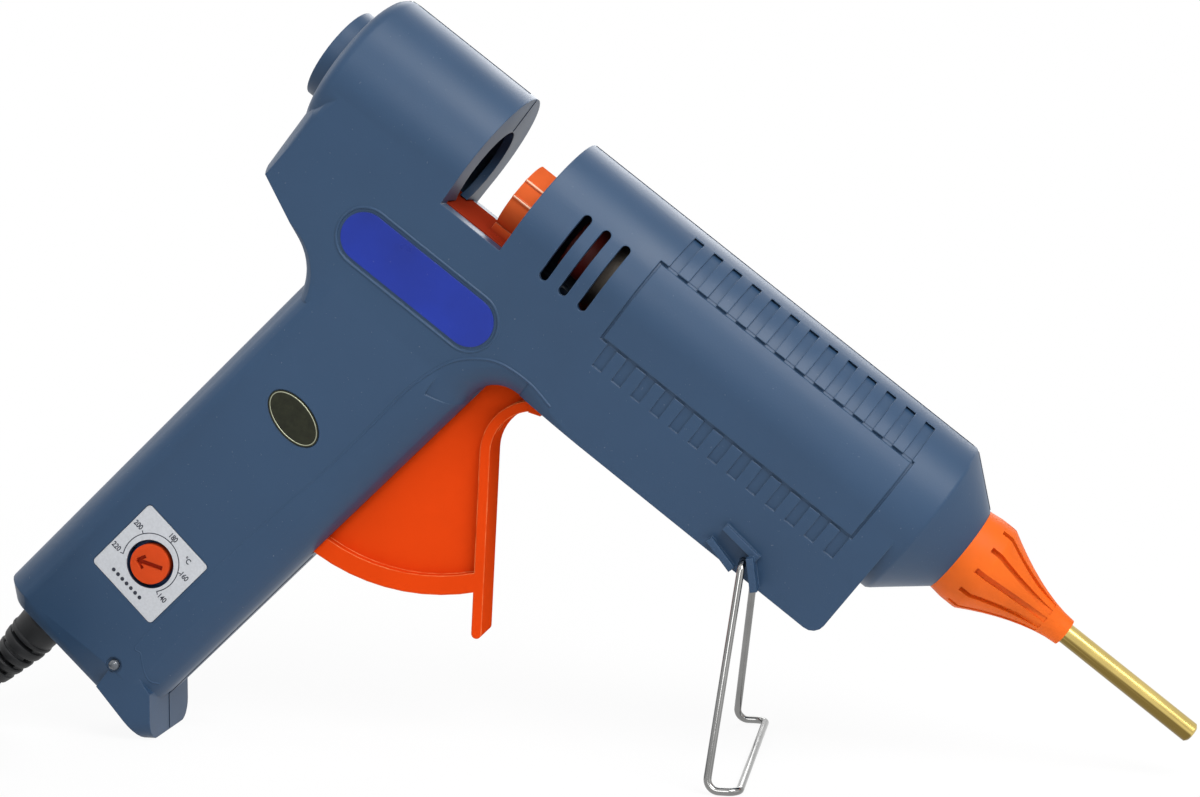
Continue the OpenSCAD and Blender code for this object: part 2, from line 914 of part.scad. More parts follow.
module stick_sleeve() {
    color("#7a1f1c")
        place()
            difference() {
                barrel_rod(sleeve_r, -chamber_back - sleeve_l, -chamber_back + 12);
                barrel_rod(stick_bore / 2, -chamber_back - sleeve_l - 1, -chamber_back + 13);
            }
}

module melt_chamber() {
    pad = element_l / 2 + 2;
    mid = -75;
    color(alloy)
        place()
            difference() {
                union() {
                    barrel_rod(flange_r, -chamber_back, -chamber_back + 4);
                    barrel_rod(chamber_r, -chamber_back + 2, -cone_l - 1);
                    block(mid - pad, mid + pad, 9, -chamber_r - 11, -6);
                }
                barrel_rod(sleeve_r + 0.05, -chamber_back - 1, -chamber_back + 12);
                barrel_rod(stick_bore / 2, -chamber_back + 11, -36);
                revolve()
                    polygon([[0, -36.5], [stick_bore / 2, -36.5], [outlet_d / 2 + 0.4, -27], [0, -27]]);
                barrel_rod(outlet_d / 2 + 0.4, -28, -24);
                barrel_rod(5.03, -26, 0);
                block(mid - pad - 1, mid + pad + 1, 6.2, -chamber_r - 7.2, -chamber_r - 2.8);
            }
}

module heating_element() {
    mid = -75;
    color("#e6e2d8")
        place()
            block(mid - element_l / 2, mid + element_l / 2, 6.1, -chamber_r - 7.1, -chamber_r - 2.9);
}

module bush(x) {
    difference() {
        barrel_rod(barrel_r - wall - 0.1, x, x + 5);
        barrel_rod(chamber_r + 0.05, x - 1, x + 6);
        block(x - 1, x + 6, 40, -40, -chamber_r + 1);
    }
}

module rear_bush() {
    color("#8c6a4a")
        place()
            bush(-chamber_back + 5);
}

module front_bush() {
    color("#8c6a4a")
        place()
            bush(-skirt_front - 6);
}

module nozzle() {
    color(brass)
        place()
            difference() {
                union() {
                    barrel_rod(5, -26, 2);
                    translate([1, 0, 0])
                        rotate([0, 90, 0])
                            cylinder(r = 8, h = 7, $fn = 6);
                    barrel_rod(tube_r, 7, tip_l - tip_bevel);
                    revolve()
                        polygon([[0, tip_l - 1], [tube_r, tip_l - 1], [tube_r, tip_l - tip_bevel],
                            [tube_r - tip_bevel, tip_l], [0, tip_l]]);
                }
                barrel_rod(outlet_d / 2, -27, tip_l + 1);
            }
}

// Soft cover: a base ring, then a waist that runs out along the tube between flutes
module nozzle_cover() {
    waist = cover_l - 9;
    function cover_at(t) = 4.1 + (front_r - 3.7) * pow(1 - max(0, t), 1.65);
    color("#ec6a26")
        place()
            difference() {
                revolve()
                    polygon(concat(
                        [[8.6, 0], [front_r, 0], [front_r + 0.5, 4], [front_r + 0.5, 8]],
                        [for (i = [0:8]) [cover_at(i / 8), 9 + waist * i / 8]],
                        [[tube_r + 0.1, cover_l], [tube_r + 0.1, 14], [8.6, 10]]
                    ));
                for (i = [0:flute_n - 1])
                    rotate([360 / flute_n * i, 0, 0])
                        slab(0.8)
                            polygon(concat(
                                [for (i = [0:7]) let (t = 0.125 * i - 0.12)
                                    [9 + waist * t, cover_at(t) - 1.7 * (1 - pow(0.13 * i, 2))]],
                                [[9 + waist * 0.755, 20], [9 - waist * 0.12, 20]]
                            ));
            }
}

// Bent wire stand

module rod3(a, b, r) {
    d = unit(b - a);
    side_a = unit(cross(abs(d[1]) < 0.9 ? [0, 1, 0] : [1, 0, 0], d));
    side_b = cross(d, side_a);
    multmatrix([
        [side_a[0], side_b[0], d[0], a[0]],
        [side_a[1], side_b[1], d[1], a[1]],
        [side_a[2], side_b[2], d[2], a[2]],
        [0, 0, 0, 1]
    ])
        cylinder(r = r, h = norm(b - a));
}

module elbow(a, p, b, bend, r) {
    u = unit(p - a);
    v = unit(b - p);
    turn = acos(u * v);
    n = unit(v - u * (u * v));
    c = p - u * (bend * tan(turn / 2)) + n * bend;
    w = cross(-n, u);
    multmatrix([
        [-n[0], u[0], w[0], c[0]],
        [-n[1], u[1], w[1], c[1]],
        [-n[2], u[2], w[2], c[2]],
        [0, 0, 0, 1]
    ])
        rotate_extrude(angle = turn)
            translate([bend, 0])
                circle(r = r);
}

module wire_path(p, bends, r) {
    overlap = 0.3;
    function cut(i) = i <= 0 || i >= len(p) - 1 ? 0
        : bends[i] * tan(acos(unit(p[i] - p[i - 1]) * unit(p[i + 1] - p[i])) / 2);
    for (i = [0:len(p) - 2]) {
        d = unit(p[i + 1] - p[i]);
        rod3(p[i] + d * max(0, cut(i) - overlap), p[i + 1] - d * max(0, cut(i + 1) - overlap), r);
    }
    for (i = [1:len(p) - 2])
        elbow(p[i - 1], p[i], p[i + 1], bends[i], r - 0.03);
}

module stand() {
    inner = side_up(-stand_drop) - wall - 3;
    function at(q, y) = [q[0], y, q[1]];
    path = [
        at(pivot, -inner), at(pivot, -leg_out), at(foot_rear, -foot_w / 2), at(foot_front, -foot_w / 2),
        at(foot_front, foot_w / 2), at(foot_rear, foot_w / 2), at(pivot, leg_out), at(pivot, inner)
    ];
    color(steel)
        place()
            wire_path(path, [0, 2.4, 3.2, 3.2, 3.2, 3.2, 2.4, 0], wire_r);
}

// Heat dial, lamp, board and plates

module dial_plate() {
    color("#dfe3e6")
        place()
            on_side(dial_at, slope_low)
                difference() {
                    keep_proud(plate_thin - 0.3)
                        rotate([0, grip_rake, 0])
                            square_plate(dial_plate_w, 0.3);
                    across([0, 0], knob_hole_r, -5, 5);
                }
}

module dial_knob() {
    color(orange)
        place()
            on_side(dial_at, slope_low)
                difference() {
                    union() {
                        across([0, 0], knob_r, -0.5, 3);
                        across([0, 0], 2, 2, board_depth - 2);
                    }
                    rotate([0, -arrow_turn, 0]) {
                        translate([-4, -1.4, -0.7])
                            cube([8, 2, 1.4]);
                        for (a = [-40, 40])
                            translate([-4, 0, 0])
                                rotate([0, a, 0])
                                    translate([0, -1.4, -0.5])
                                        cube([3, 2, 1]);
                    }
                }
}

module potentiometer() {
    color("#2f5f9e")
        place()
            on_side(dial_at, slope_low)
                difference() {
                    union() {
                        translate([-7.5, 5, -7.5])
                            cube([15, board_depth - 5, 15]);
                        across([0, 0], 3.6, 3.6, 6);
                    }
                    across([0, 0], 2 + turn_fit, 0, board_depth - 1.8);
                }
}

module circuit_board() {
    color("#2d6b3f")
        place()
            on_side(board_at, slope_low, grip_rake)
                translate([-board_l / 2, board_depth, -board_h / 2])
                    cube([board_l, board_t, board_h]);
}

module lamp_lens() {
    color("#b8bcbc")
        place()
            on_side(lamp_at, slope_low) {
                across([0, 0], lens_r, -0.4, wall + 3);
                translate([0, -0.4, 0])
                    rotate([90, 0, 0])
                        cylinder(r1 = lens_r, r2 = lens_r * 0.55, h = 0.7);
            }
}

module rating_plate() {
    color("#1f3f9f")
        place()
            on_side(rating_at, slope_up)
                keep_proud(0.1)
                    pill(rating_l, rating_w, plate_thin - 0.2);
}

module oval_badge() {
    color("#3b3a1c")
        place()
            on_side(badge_at, slope_low, 13)
                keep_proud(plate_thin - 0.3)
                    oval(badge_l, 0.3);
}

module housing_screws() {
    color(steel)
        place()
            for (p = screw_at)
                difference() {
                    union() {
                        across(p, screw_r, -8, head_y + 0.5);
                        across(p, head_r, head_y, head_y + 2);
                    }
                    translate([p[0] - 1.8, head_y + 1, p[1] - 0.35])
                        cube([3.6, 3, 0.7]);
                    translate([p[0] - 0.35, head_y + 1, p[1] - 1.8])
                        cube([0.7, 3, 3.6]);
                }
}

// Cord set

module boot_frame() {
    translate([boot_base[0], 0, boot_base[1]])
        rotate([0, 180 + boot_turn, 0])
            children();
}

module cord_clamp() {
    color("#d9d6cc")
        place()
            boot_frame()
                translate([0, 0, -clamp_in])
                    difference() {
                        translate([-7, -clamp_half, -3])
                            cube([14, 2 * clamp_half, 6]);
                        translate([0, 0, -5])
                            cylinder(r = cord_r + 0.05, h = 10);
                    }
}

module strain_relief() {
    neck_r = boot_r - 2.25;
    ribs = 6;
    pitch = (boot_l - 6) / ribs;
    color(black)
        place()
            boot_frame()
                rotate_extrude()
                    polygon(concat(
                        [[cord_r + 0.05, -8], [boot_r - 0.4, -8], [boot_r - 0.4, -5.6]],
                        [[neck_r, -5.6], [neck_r, 1], [boot_r, 1], [boot_r, 4.4]],
                        [for (i = [0:ribs - 1], k = [0:3])
                            let (z = 5 + pitch * (i + [0, 0.12, 0.62, 0.74][k]), r = boot_r - 0.6 - 0.45 * i)
                            [k == 1 || k == 2 ? r : r - 1.1, z]],
                        [[cord_r + 0.7, boot_l + 1], [cord_r + 0.05, boot_l + 1]]
                    ));
}

function smooth(t) = let (u = min(1, max(0, t))) u * u * (3 - 2 * u);

// A tube of n sides around a list of points, closed at both ends
function tube_dir(p, i) = unit(p[min(i + 1, len(p) - 1)] - p[max(i - 1, 0)]);
function tube_ring(p, i, r, n) =
    let (d = tube_dir(p, i), a = unit(cross(d, abs(d[2]) > 0.95 ? [0, 1, 0] : [0, 0, 1])), b = cross(d, a))
    [for (k = [0:n - 1]) p[i] + r * (a * cos(360 * k / n) + b * sin(360 * k / n))];

module tube(p, r, n) {
    m = len(p);
    polyhedron(
        points = [for (i = [0:m - 1]) each tube_ring(p, i, r, n)],
        faces = concat(
            [for (k = [1:n - 2]) [0, k, k + 1]],
            [for (i = [0:m - 2], k = [0:n - 1]) [i * n + k, (i + 1) * n + k, (i + 1) * n + (k + 1) % n]],
            [for (i = [0:m - 2], k = [0:n - 1]) [i * n + k, (i + 1) * n + (k + 1) % n, i * n + (k + 1) % n]],
            [for (k = [1:n - 2]) [(m - 1) * n, (m - 1) * n + k + 1, (m - 1) * n + k]]
        )
    );
}

// Free stretch: out of the strain relief and down to the table, chosen by hand
boot_tip_s = stands(boot_tip);
boot_in_s = stands(boot_base - 22 * boot_dir);
cord_route = [
    [boot_in_s[0], 0, boot_in_s[1]],
    [boot_tip_s[0], 0, boot_tip_s[1]],
    [-184.9, 0, 12],
    [-188.9, 0, 8.7],
    [-193.2, 0, 6.3],
    [-198.2, 0, 4.75],
    [-203.4, 0, 4.25],
    [-209, 0, coil_z],
    [coil_at[0] + cord_d, 0, coil_z]
];

// Coil: in and out again at a steady rate, climbing where the spiral turns back
coil_steps = 24 * 2 * coil_turns;
function coil_point(i) =
    let (t = i / 24 - coil_turns, a = 90 + 15 * i, r = coil_in + turn_gap * abs(t))
    [coil_at[0] + r * cos(a), coil_at[1] + r * sin(a), coil_z + layer_h * smooth(2 * (t + 0.25))];
function lead_point(a) =
    let (r = coil_out - lead_in * smooth((a - 40) / 100))
    [coil_at[0] + r * cos(90 + a), coil_at[1] + r * sin(90 + a),
        coil_z + layer_h + lead_up * smooth(a / 80)];
lead_end = lead_point(lead_turn);
lead_dir = [-sin(90 + lead_turn), cos(90 + lead_turn), 0];
coil_path = concat(
    [[coil_at[0] + cord_d, 0, coil_z]],
    [for (i = [0:coil_steps]) coil_point(i)],
    [for (a = [15:15:lead_turn]) lead_point(a)],
    [lead_end + 3 * lead_dir, lead_end + 14 * lead_dir]
);
coil_gap = min([for (i = [0:len(coil_path) - 1], j = [i + 8:1:len(coil_path) - 1])
    norm(coil_path[i] - coil_path[j])]) - cord_d;
echo(least_gap_in_coil = coil_gap);
echo(place_x = place_x, place_z = place_z, plug_face = lead_end + (6 + plug_l) * lead_dir);
echo(trigger_pin_at = stands(trigger_at), stand_pivot_at = stands(pivot), feed_travel = feed_travel);
echo(dial_at = stands(dial_at), dial_side = side(dial_at[1]), slope = slope_low);

module power_cord() {
    color(black)
        tube(cord_route, cord_r, 10);
}

module cord_coil() {
    color(black)
        tube(coil_path, cord_r, 6);
}

// Tie around all the turns on the side of the coil towards the stand
module cord_tie() {
    r0 = coil_in + turn_gap / 4 - cord_r - 0.8;
    r1 = coil_out - turn_gap / 4 + cord_r + 0.8;
    h = coil_z + layer_h + cord_r + 0.5;
    color("#3a3a3c")
        translate([coil_at[0], coil_at[1], 0])
            difference() {
                translate([r0 - 0.9, -3.5, 0])
                    cube([r1 - r0 + 1.8, 7, h + 0.9]);
                translate([r0, -4.5, 0.8])
                    cube([r1 - r0, 9, h - 0.8]);
            }
}

module plug_frame() {
    translate(lead_end - [0, 0, coil_z] + 6 * lead_dir)
        rotate([0, 0, atan2(lead_dir[1], lead_dir[0])])
            children();
}

module plug_body() {
    color(black)
        plug_frame()
            difference() {
                hull() {
                    translate([0, 0, coil_z])
                        rotate([0, 90, 0])
                            cylinder(r = cord_r + 1, h = 1, $fn = 32);
                    for (s = [-1, 1])
                        translate([plug_l / 2, s * 8, plug_h / 2])
                            rotate([0, 90, 0])
                                cylinder(r = plug_h / 2, h = plug_l / 2, $fn = 32);
                }
                translate([-1, 0, coil_z])
                    rotate([0, 90, 0])
                        cylinder(r = cord_r + 0.05, h = 9.5);
                for (s = [-1, 1])
                    translate([plug_l - 9, s * plug_pitch / 2, plug_h / 2])
                        rotate([0, 90, 0])
                            cylinder(d = plug_pin_d - 1, h = 20);
            }
}

module plug_pins() {
    color(brass)
        plug_frame()
            for (s = [-1, 1])
                translate([plug_l, s * plug_pitch / 2, plug_h / 2])
                    rotate([0, 90, 0]) {
                        cylinder(d = plug_pin_d, h = plug_pin_l);
                        translate([0, 0, -8.8])
                            cylinder(d = plug_pin_d - 1.04, h = 10);
                    }
}

housing_right();
housing_left();
trigger();
trigger_pin();
return_spring();
feed_carriage();
drive_pin();
stick_grip();
stick_sleeve();
melt_chamber();
heating_element();
rear_bush();
front_bush();
nozzle();
nozzle_cover();
stand();
dial_plate();
dial_knob();
potentiometer();
circuit_board();
lamp_lens();
rating_plate();
oval_badge();
housing_screws();
cord_clamp();
strain_relief();
power_cord();
cord_coil();
cord_tie();
plug_body();
plug_pins();
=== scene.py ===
"""Looks of a standing hot glue applicator: finishes, print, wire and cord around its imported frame."""

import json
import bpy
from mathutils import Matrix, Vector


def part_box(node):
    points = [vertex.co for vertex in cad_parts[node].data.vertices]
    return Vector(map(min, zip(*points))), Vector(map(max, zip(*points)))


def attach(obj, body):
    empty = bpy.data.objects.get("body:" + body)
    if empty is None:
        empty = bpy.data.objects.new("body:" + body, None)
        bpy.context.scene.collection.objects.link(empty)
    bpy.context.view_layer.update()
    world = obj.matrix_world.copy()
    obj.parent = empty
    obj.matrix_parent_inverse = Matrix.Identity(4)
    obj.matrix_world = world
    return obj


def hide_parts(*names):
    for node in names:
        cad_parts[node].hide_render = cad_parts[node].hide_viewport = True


bl_info = {
    "name": "Hot glue applicator",
    "version": (1, 0, 0),
    "blender": (4, 5, 0),
    "location": "3D View > Sidebar > Applicator",
    "description": "Dresses the packed hot glue applicator and sets its stage",
    "category": "Object",
}

from math import atan, atan2, cos, pi, radians, sin, tan, tau

import bmesh
import bpy
from bpy.props import FloatProperty, FloatVectorProperty, PointerProperty
from mathutils import Matrix, Vector

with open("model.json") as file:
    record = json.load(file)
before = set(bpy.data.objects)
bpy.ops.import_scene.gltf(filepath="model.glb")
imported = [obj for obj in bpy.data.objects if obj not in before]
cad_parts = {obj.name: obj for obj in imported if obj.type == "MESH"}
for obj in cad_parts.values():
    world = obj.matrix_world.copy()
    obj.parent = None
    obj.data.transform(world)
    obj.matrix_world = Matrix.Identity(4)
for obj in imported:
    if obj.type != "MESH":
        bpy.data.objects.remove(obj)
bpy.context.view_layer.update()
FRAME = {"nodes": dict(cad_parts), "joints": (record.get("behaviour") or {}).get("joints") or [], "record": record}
NODES = FRAME["nodes"]
JOINTS = {joint["name"]: joint for joint in FRAME["joints"]}
MM = 0.001

# Frame of the barrel in millimetres: x towards the nozzle from the housing's front end, z up across it
INLET = next(mount for mount in FRAME["record"]["mounts"] if mount["name"] == "stick_inlet")
INLET_X = -221.65
ALONG = -Vector(INLET["axis"])
ACROSS = Vector((0, 1, 0))
UP = Vector((-ALONG.z, 0, ALONG.x))
FRONT_END = Vector(INLET["pos_m"]) - ALONG * INLET_X * MM
TURN = Matrix((ALONG, ACROSS, UP)).transposed()
GUN = Matrix.Translation(FRONT_END) @ TURN.to_4x4() @ Matrix.Scale(MM, 4)
TILT = atan2(-ALONG.z, ALONG.x)

# How the photograph was taken: its frame, its focal length in pixels and the directions seen in it
PHOTO_SIZE = (1200, 797)
FOCAL_PX = 2200
SIDE_VANISHING_PX = (972, 174)
BARREL_IN_PHOTO = radians(38.8)
EYE = (-63.0, -617.2, 83.3)
SENSOR = 36

# Floor: how much of it shows plain white near the object, and where that becomes all of it
FLOOR_WHITE = 0.92
FLOOR_FADE = (0.25, 0.6)

# Lamps: where each stands and how wide it is, and the point that all of them face
LAMPS = {
    "key": ((-0.3, -0.5, 1.0), 1.0),
    "fill": ((1.0, -0.4, 0.08), 0.8),
    "back": ((-0.9, 0.15, 0.75), 0.6),
    "top": ((0.53, -0.52, 0.83), 0.6),
    "front": ((0.0, -0.97, 0.46), 0.35),
    "rear": ((0.1, 1.0, 0.7), 0.8),
}
LAMP_AIM = Vector((-0.02, 0, 0.11))


def srgb(red, green, blue):
    """Linear colour of an 8-bit screen colour."""
    def linear(c):
        return c / 12.92 if c <= 0.04045 else ((c + 0.055) / 1.055) ** 2.4
    return tuple(linear(c / 255) for c in (red, green, blue))


def colour_property(name, description, rgb):
    return FloatVectorProperty(
        name=name, description=description, subtype="COLOR", size=3, min=0, max=1, default=srgb(*rgb)
    )


def length_property(name, description, metres):
    return FloatProperty(
        name=name, description=description, subtype="DISTANCE", unit="LENGTH", min=0, precision=5,
        default=metres,
    )


def power_property(name, description, watts):
    return FloatProperty(name=name, description=description, subtype="POWER", unit="POWER", default=watts)


class ApplicatorColours(bpy.types.PropertyGroup):
    """Colours of the finishes"""

    slate: colour_property("Housing", "Moulded plastic of the housing", (42, 67, 95))
    orange: colour_property("Trigger", "Plastic of the trigger", (217, 66, 17))
    collar: colour_property("Feed collar", "Plastic of the feed collar", (216, 96, 48))
    knob: colour_property("Knob", "Plastic of the dial knob", (204, 70, 26))
    cover: colour_property("Nozzle cover", "Soft rubber of the nozzle cover", (220, 97, 24))
    brass: colour_property("Brass", "Nozzle tube and plug pins", (206, 182, 110))
    steel: colour_property("Steel", "Stand wire", (132, 132, 131))
    label: colour_property("Rating plate", "Bare printed plate on the side", (19, 44, 142))
    badge: colour_property("Badge", "Bare oval badge on the grip", (30, 32, 20))
    plate: colour_property("Dial plate", "Printed plate around the dial", (191, 194, 199))
    rubber: colour_property("Rubber", "Strain relief, cord and plug", (30, 31, 33))


class ApplicatorSizes(bpy.types.PropertyGroup):
    """Sizes of what the scene adds to the frame"""

    edge: length_property("Edge rounding", "Rounding of moulded edges", 0.45 * MM)
    crease: length_property("Crease", "Radius of the raised line along the grip", 0.48 * MM)
    seam: length_property("Parting line", "Radius of the dark line between the two halves", 0.16 * MM)
    wire: length_property("Stand wire", "Diameter of the stand wire", 2.2 * MM)
    cord: length_property("Cord", "Diameter of the cord", 6.4 * MM)
    numbers: length_property("Dial numbers", "Height of the numbers on the dial plate", 1.6 * MM)
    spring: length_property("Spring wire", "Diameter of the wire of the return spring", 1.4 * MM)


class ApplicatorStage(bpy.types.PropertyGroup):
    """Light and floor"""

    floor: colour_property("Floor", "Plain pale floor", (245, 245, 245))
    key: power_property("Key light", "Strength of the large soft lamp", 1.6)
    fill: power_property("Fill light", "Strength of the lamp on the right", 1.2)
    back: power_property("Back light", "Strength of the lamp behind the grip", 3.0)
    top: power_property("Top light", "Strength of the lamp above the barrel", 9.5)
    rear: power_property("Rear light", "Strength of the lamp on the far side", 6.5)
    front: power_property("Front light", "Strength of the lamp over the camera", 2.2)
    sky: FloatProperty(
        name="Sky", description="Strength of the even light all round", subtype="FACTOR", min=0, max=2,
        default=0.16,
    )


def gun(x, y, z):
    """Point of the barrel frame, in metres in the shared frame."""
    return GUN @ Vector((x, y, z))


def size(name):
    return getattr(bpy.context.scene.applicator_sizes, name)


# Node helpers and shared node groups

def feed(tree, socket, value):
    """Sets a socket to a value, or links it where another socket is given."""
    if isinstance(value, bpy.types.NodeSocket):
        tree.links.new(value, socket)
    else:
        socket.default_value = value


def add_node(tree, kind, *values, **settings):
    """A new node with its settings, and with its first inputs set or linked."""
    node = tree.nodes.new(kind)
    for name, value in settings.items():
        setattr(node, name, value)
    for socket, value in zip(node.inputs, values):
        feed(tree, socket, value)
    return node


def calculate(tree, operation, *values):
    """Result of a maths node."""
    return add_node(tree, "ShaderNodeMath", *values, operation=operation).outputs[0]


def calculate_vector(tree, operation, *values):
    """Node of a vector calculation."""
    return add_node(tree, "ShaderNodeVectorMath", *values, operation=operation)


def map_range(tree, *values):
    """A value between two limits mapped to two others."""
    return add_node(tree, "ShaderNodeMapRange", *values).outputs["Result"]


# Sockets of a mix node that take and give colours
MIX_COLOURS = (6, 7)
MIX_RESULT = 2


def mix_colour(tree, share, first, second):
    """Colour that goes from the first to the second with the share."""
    node = add_node(tree, "ShaderNodeMix", share, data_type="RGBA")
    for socket, colour in zip(MIX_COLOURS, (first, second)):
        feed(tree, node.inputs[socket], colour)
    return node.outputs[MIX_RESULT]


def object_place(tree):
    return tree.nodes.new("ShaderNodeTexCoord").outputs["Object"]


def noise(tree, place, scale, detail):
    """Grey noise at a place."""
    node = add_node(tree, "ShaderNodeTexNoise", place)
    feed(tree, node.inputs["Scale"], scale)
    feed(tree, node.inputs["Detail"], detail)
    return node.outputs["Fac"]


def shader_of(tree, kind="BSDF_PRINCIPLED"):
    """The node of a kind that a new tree starts with."""
    return next(node for node in tree.nodes if node.type == kind)


def new_group(name, inputs, outputs):
    """Starts a node group with named sockets. Returns its tree, what is given and what it puts out."""
    tree = bpy.data.node_groups.new(name, "ShaderNodeTree")
    for label, kind, default in inputs:
        socket = tree.interface.new_socket(label, in_out="INPUT", socket_type=kind)
        socket.default_value = default
    for label, kind in outputs:
        tree.interface.new_socket(label, in_out="OUTPUT", socket_type=kind)
    return tree, tree.nodes.new("NodeGroupInput").outputs, tree.nodes.new("NodeGroupOutput").inputs


# Part of a noise that a tone or a roughness follows
DRIFT = (0.3, 0.7)

# Specks: the part of their noise that shows, its scale, and their colour
SPECKS = (0.72, 0.80)
SPECK_SCALE = 1300.0
SPECK_COLOUR = (0.62, 0.66, 0.72, 1)

# Pale edges, partly wear and partly painted highlight: the match of rounded and plain normals between
# which they show, and patches that break them
PALE_EDGE_MATCH = (0.95, 0.78)
PATCHES = (0.36, 0.62, 0.25, 1.0)

# Painted dark reflections drawn out along the brass: how their noise becomes their share, and how much
# coarser it is than the grain
REFLECTION_STREAKS = (0.40, 0.56, 0.0, 0.9)
REFLECTION_STREAK_WIDTH = 5

# Painted shade low in the feed slot: the heights over the barrel's centre line between which it fades in,
# and its share there
SLOT_SHADE = (-8.0 * MM, -11.4 * MM, 0.0, 0.94)


def tone_drift():
    """Slow uneven tone of a moulded or painted colour, with a few pale specks of handling."""
    name = "Tone drift"
    if name in bpy.data.node_groups:
        return bpy.data.node_groups[name]
    tree, given, put = new_group(
        name,
        [
            ("Colour", "NodeSocketColor", (0.5, 0.5, 0.5, 1)),
            ("Amount", "NodeSocketFloat", 0.1),
            ("Scale", "NodeSocketFloat", 30.0),
            ("Specks", "NodeSocketFloat", 0.0),
        ],
        [("Colour", "NodeSocketColor"), ("Mottle", "NodeSocketFloat")],
    )
    place = object_place(tree)
    slow = noise(tree, place, given["Scale"], 5.0)
    least = calculate(tree, "SUBTRACT", 1.0, given["Amount"])
    most = calculate(tree, "ADD", 1.0, given["Amount"])
    shade = calculate_vector(tree, "SCALE", given["Colour"])
    tree.links.new(map_range(tree, slow, *DRIFT, least, most), shade.inputs["Scale"])
    dust = map_range(tree, noise(tree, place, SPECK_SCALE, 2.0), *SPECKS, 0.0, 1.0)
    pale = calculate(tree, "MULTIPLY", dust, given["Specks"])
    tree.links.new(mix_colour(tree, pale, shade.outputs["Vector"], SPECK_COLOUR), put["Colour"])
    tree.links.new(slow, put["Mottle"])
    return tree


def edge_wear_and_highlight():
    """Rounded edge normal and a mask of pale edges: wear from hands and benches, and painted highlight."""
    name = "Rubbed edge"
    if name in bpy.data.node_groups:
        return bpy.data.node_groups[name]
    tree, given, put = new_group(
        name,
        [("Radius", "NodeSocketFloat", 0.0005), ("Wear Scale", "NodeSocketFloat", 300.0)],
        [("Normal", "NodeSocketVector"), ("Mask", "NodeSocketFloat")],
    )
    soft = add_node(tree, "ShaderNodeBevel", given["Radius"], samples=6).outputs["Normal"]
    facing = add_node(tree, "ShaderNodeNewGeometry").outputs["Normal"]
    match = calculate_vector(tree, "DOT_PRODUCT", soft, facing).outputs["Value"]
    edge = map_range(tree, match, *PALE_EDGE_MATCH, 0.0, 1.0)
    patch = noise(tree, object_place(tree), given["Wear Scale"], 4.0)
    broken = map_range(tree, patch, *PATCHES)
    tree.links.new(soft, put["Normal"])
    tree.links.new(calculate(tree, "MULTIPLY", edge, broken), put["Mask"])
    return tree


def moulded_grain():
    """Height of a fine even texture, which can be drawn out along one direction."""
    name = "Moulded grain"
    if name in bpy.data.node_groups:
        return bpy.data.node_groups[name]
    tree, given, put = new_group(
        name,
        [
            ("Scale", "NodeSocketFloat", 2500.0),
            ("Stretch", "NodeSocketVector", (1, 1, 1)),
            ("Turn", "NodeSocketVector", (0, 0, 0)),
        ],
        [("Height", "NodeSocketFloat")],
    )
    turned = add_node(tree, "ShaderNodeMapping", object_place(tree))
    tree.links.new(given["Turn"], turned.inputs["Rotation"])
    pulled = calculate_vector(tree, "MULTIPLY", turned.outputs["Vector"], given["Stretch"])
    tree.links.new(noise(tree, pulled.outputs["Vector"], given["Scale"], 3.0), put["Height"])
    return tree


def place_group(tree, group, **values):
    """Places a node group in a material with its own values."""
    node = add_node(tree, "ShaderNodeGroup", node_tree=group)
    for key, value in values.items():
        feed(tree, node.inputs[key.replace("_", " ").title()], value)
    return node.outputs


def barrel_height(tree):
    """Height over the barrel's centre line."""
    centre = gun(0, 0, 0)
    place = calculate_vector(tree, "DOT_PRODUCT", object_place(tree), UP)
    return calculate(tree, "SUBTRACT", place.outputs["Value"], centre.dot(UP))


def colour_of(colour):
    """Linear colour with alpha of a setting's name or of an 8-bit colour."""
    if isinstance(colour, str):
        return (*getattr(bpy.context.scene.applicator_colours, colour), 1)
    return (*srgb(*colour), 1)


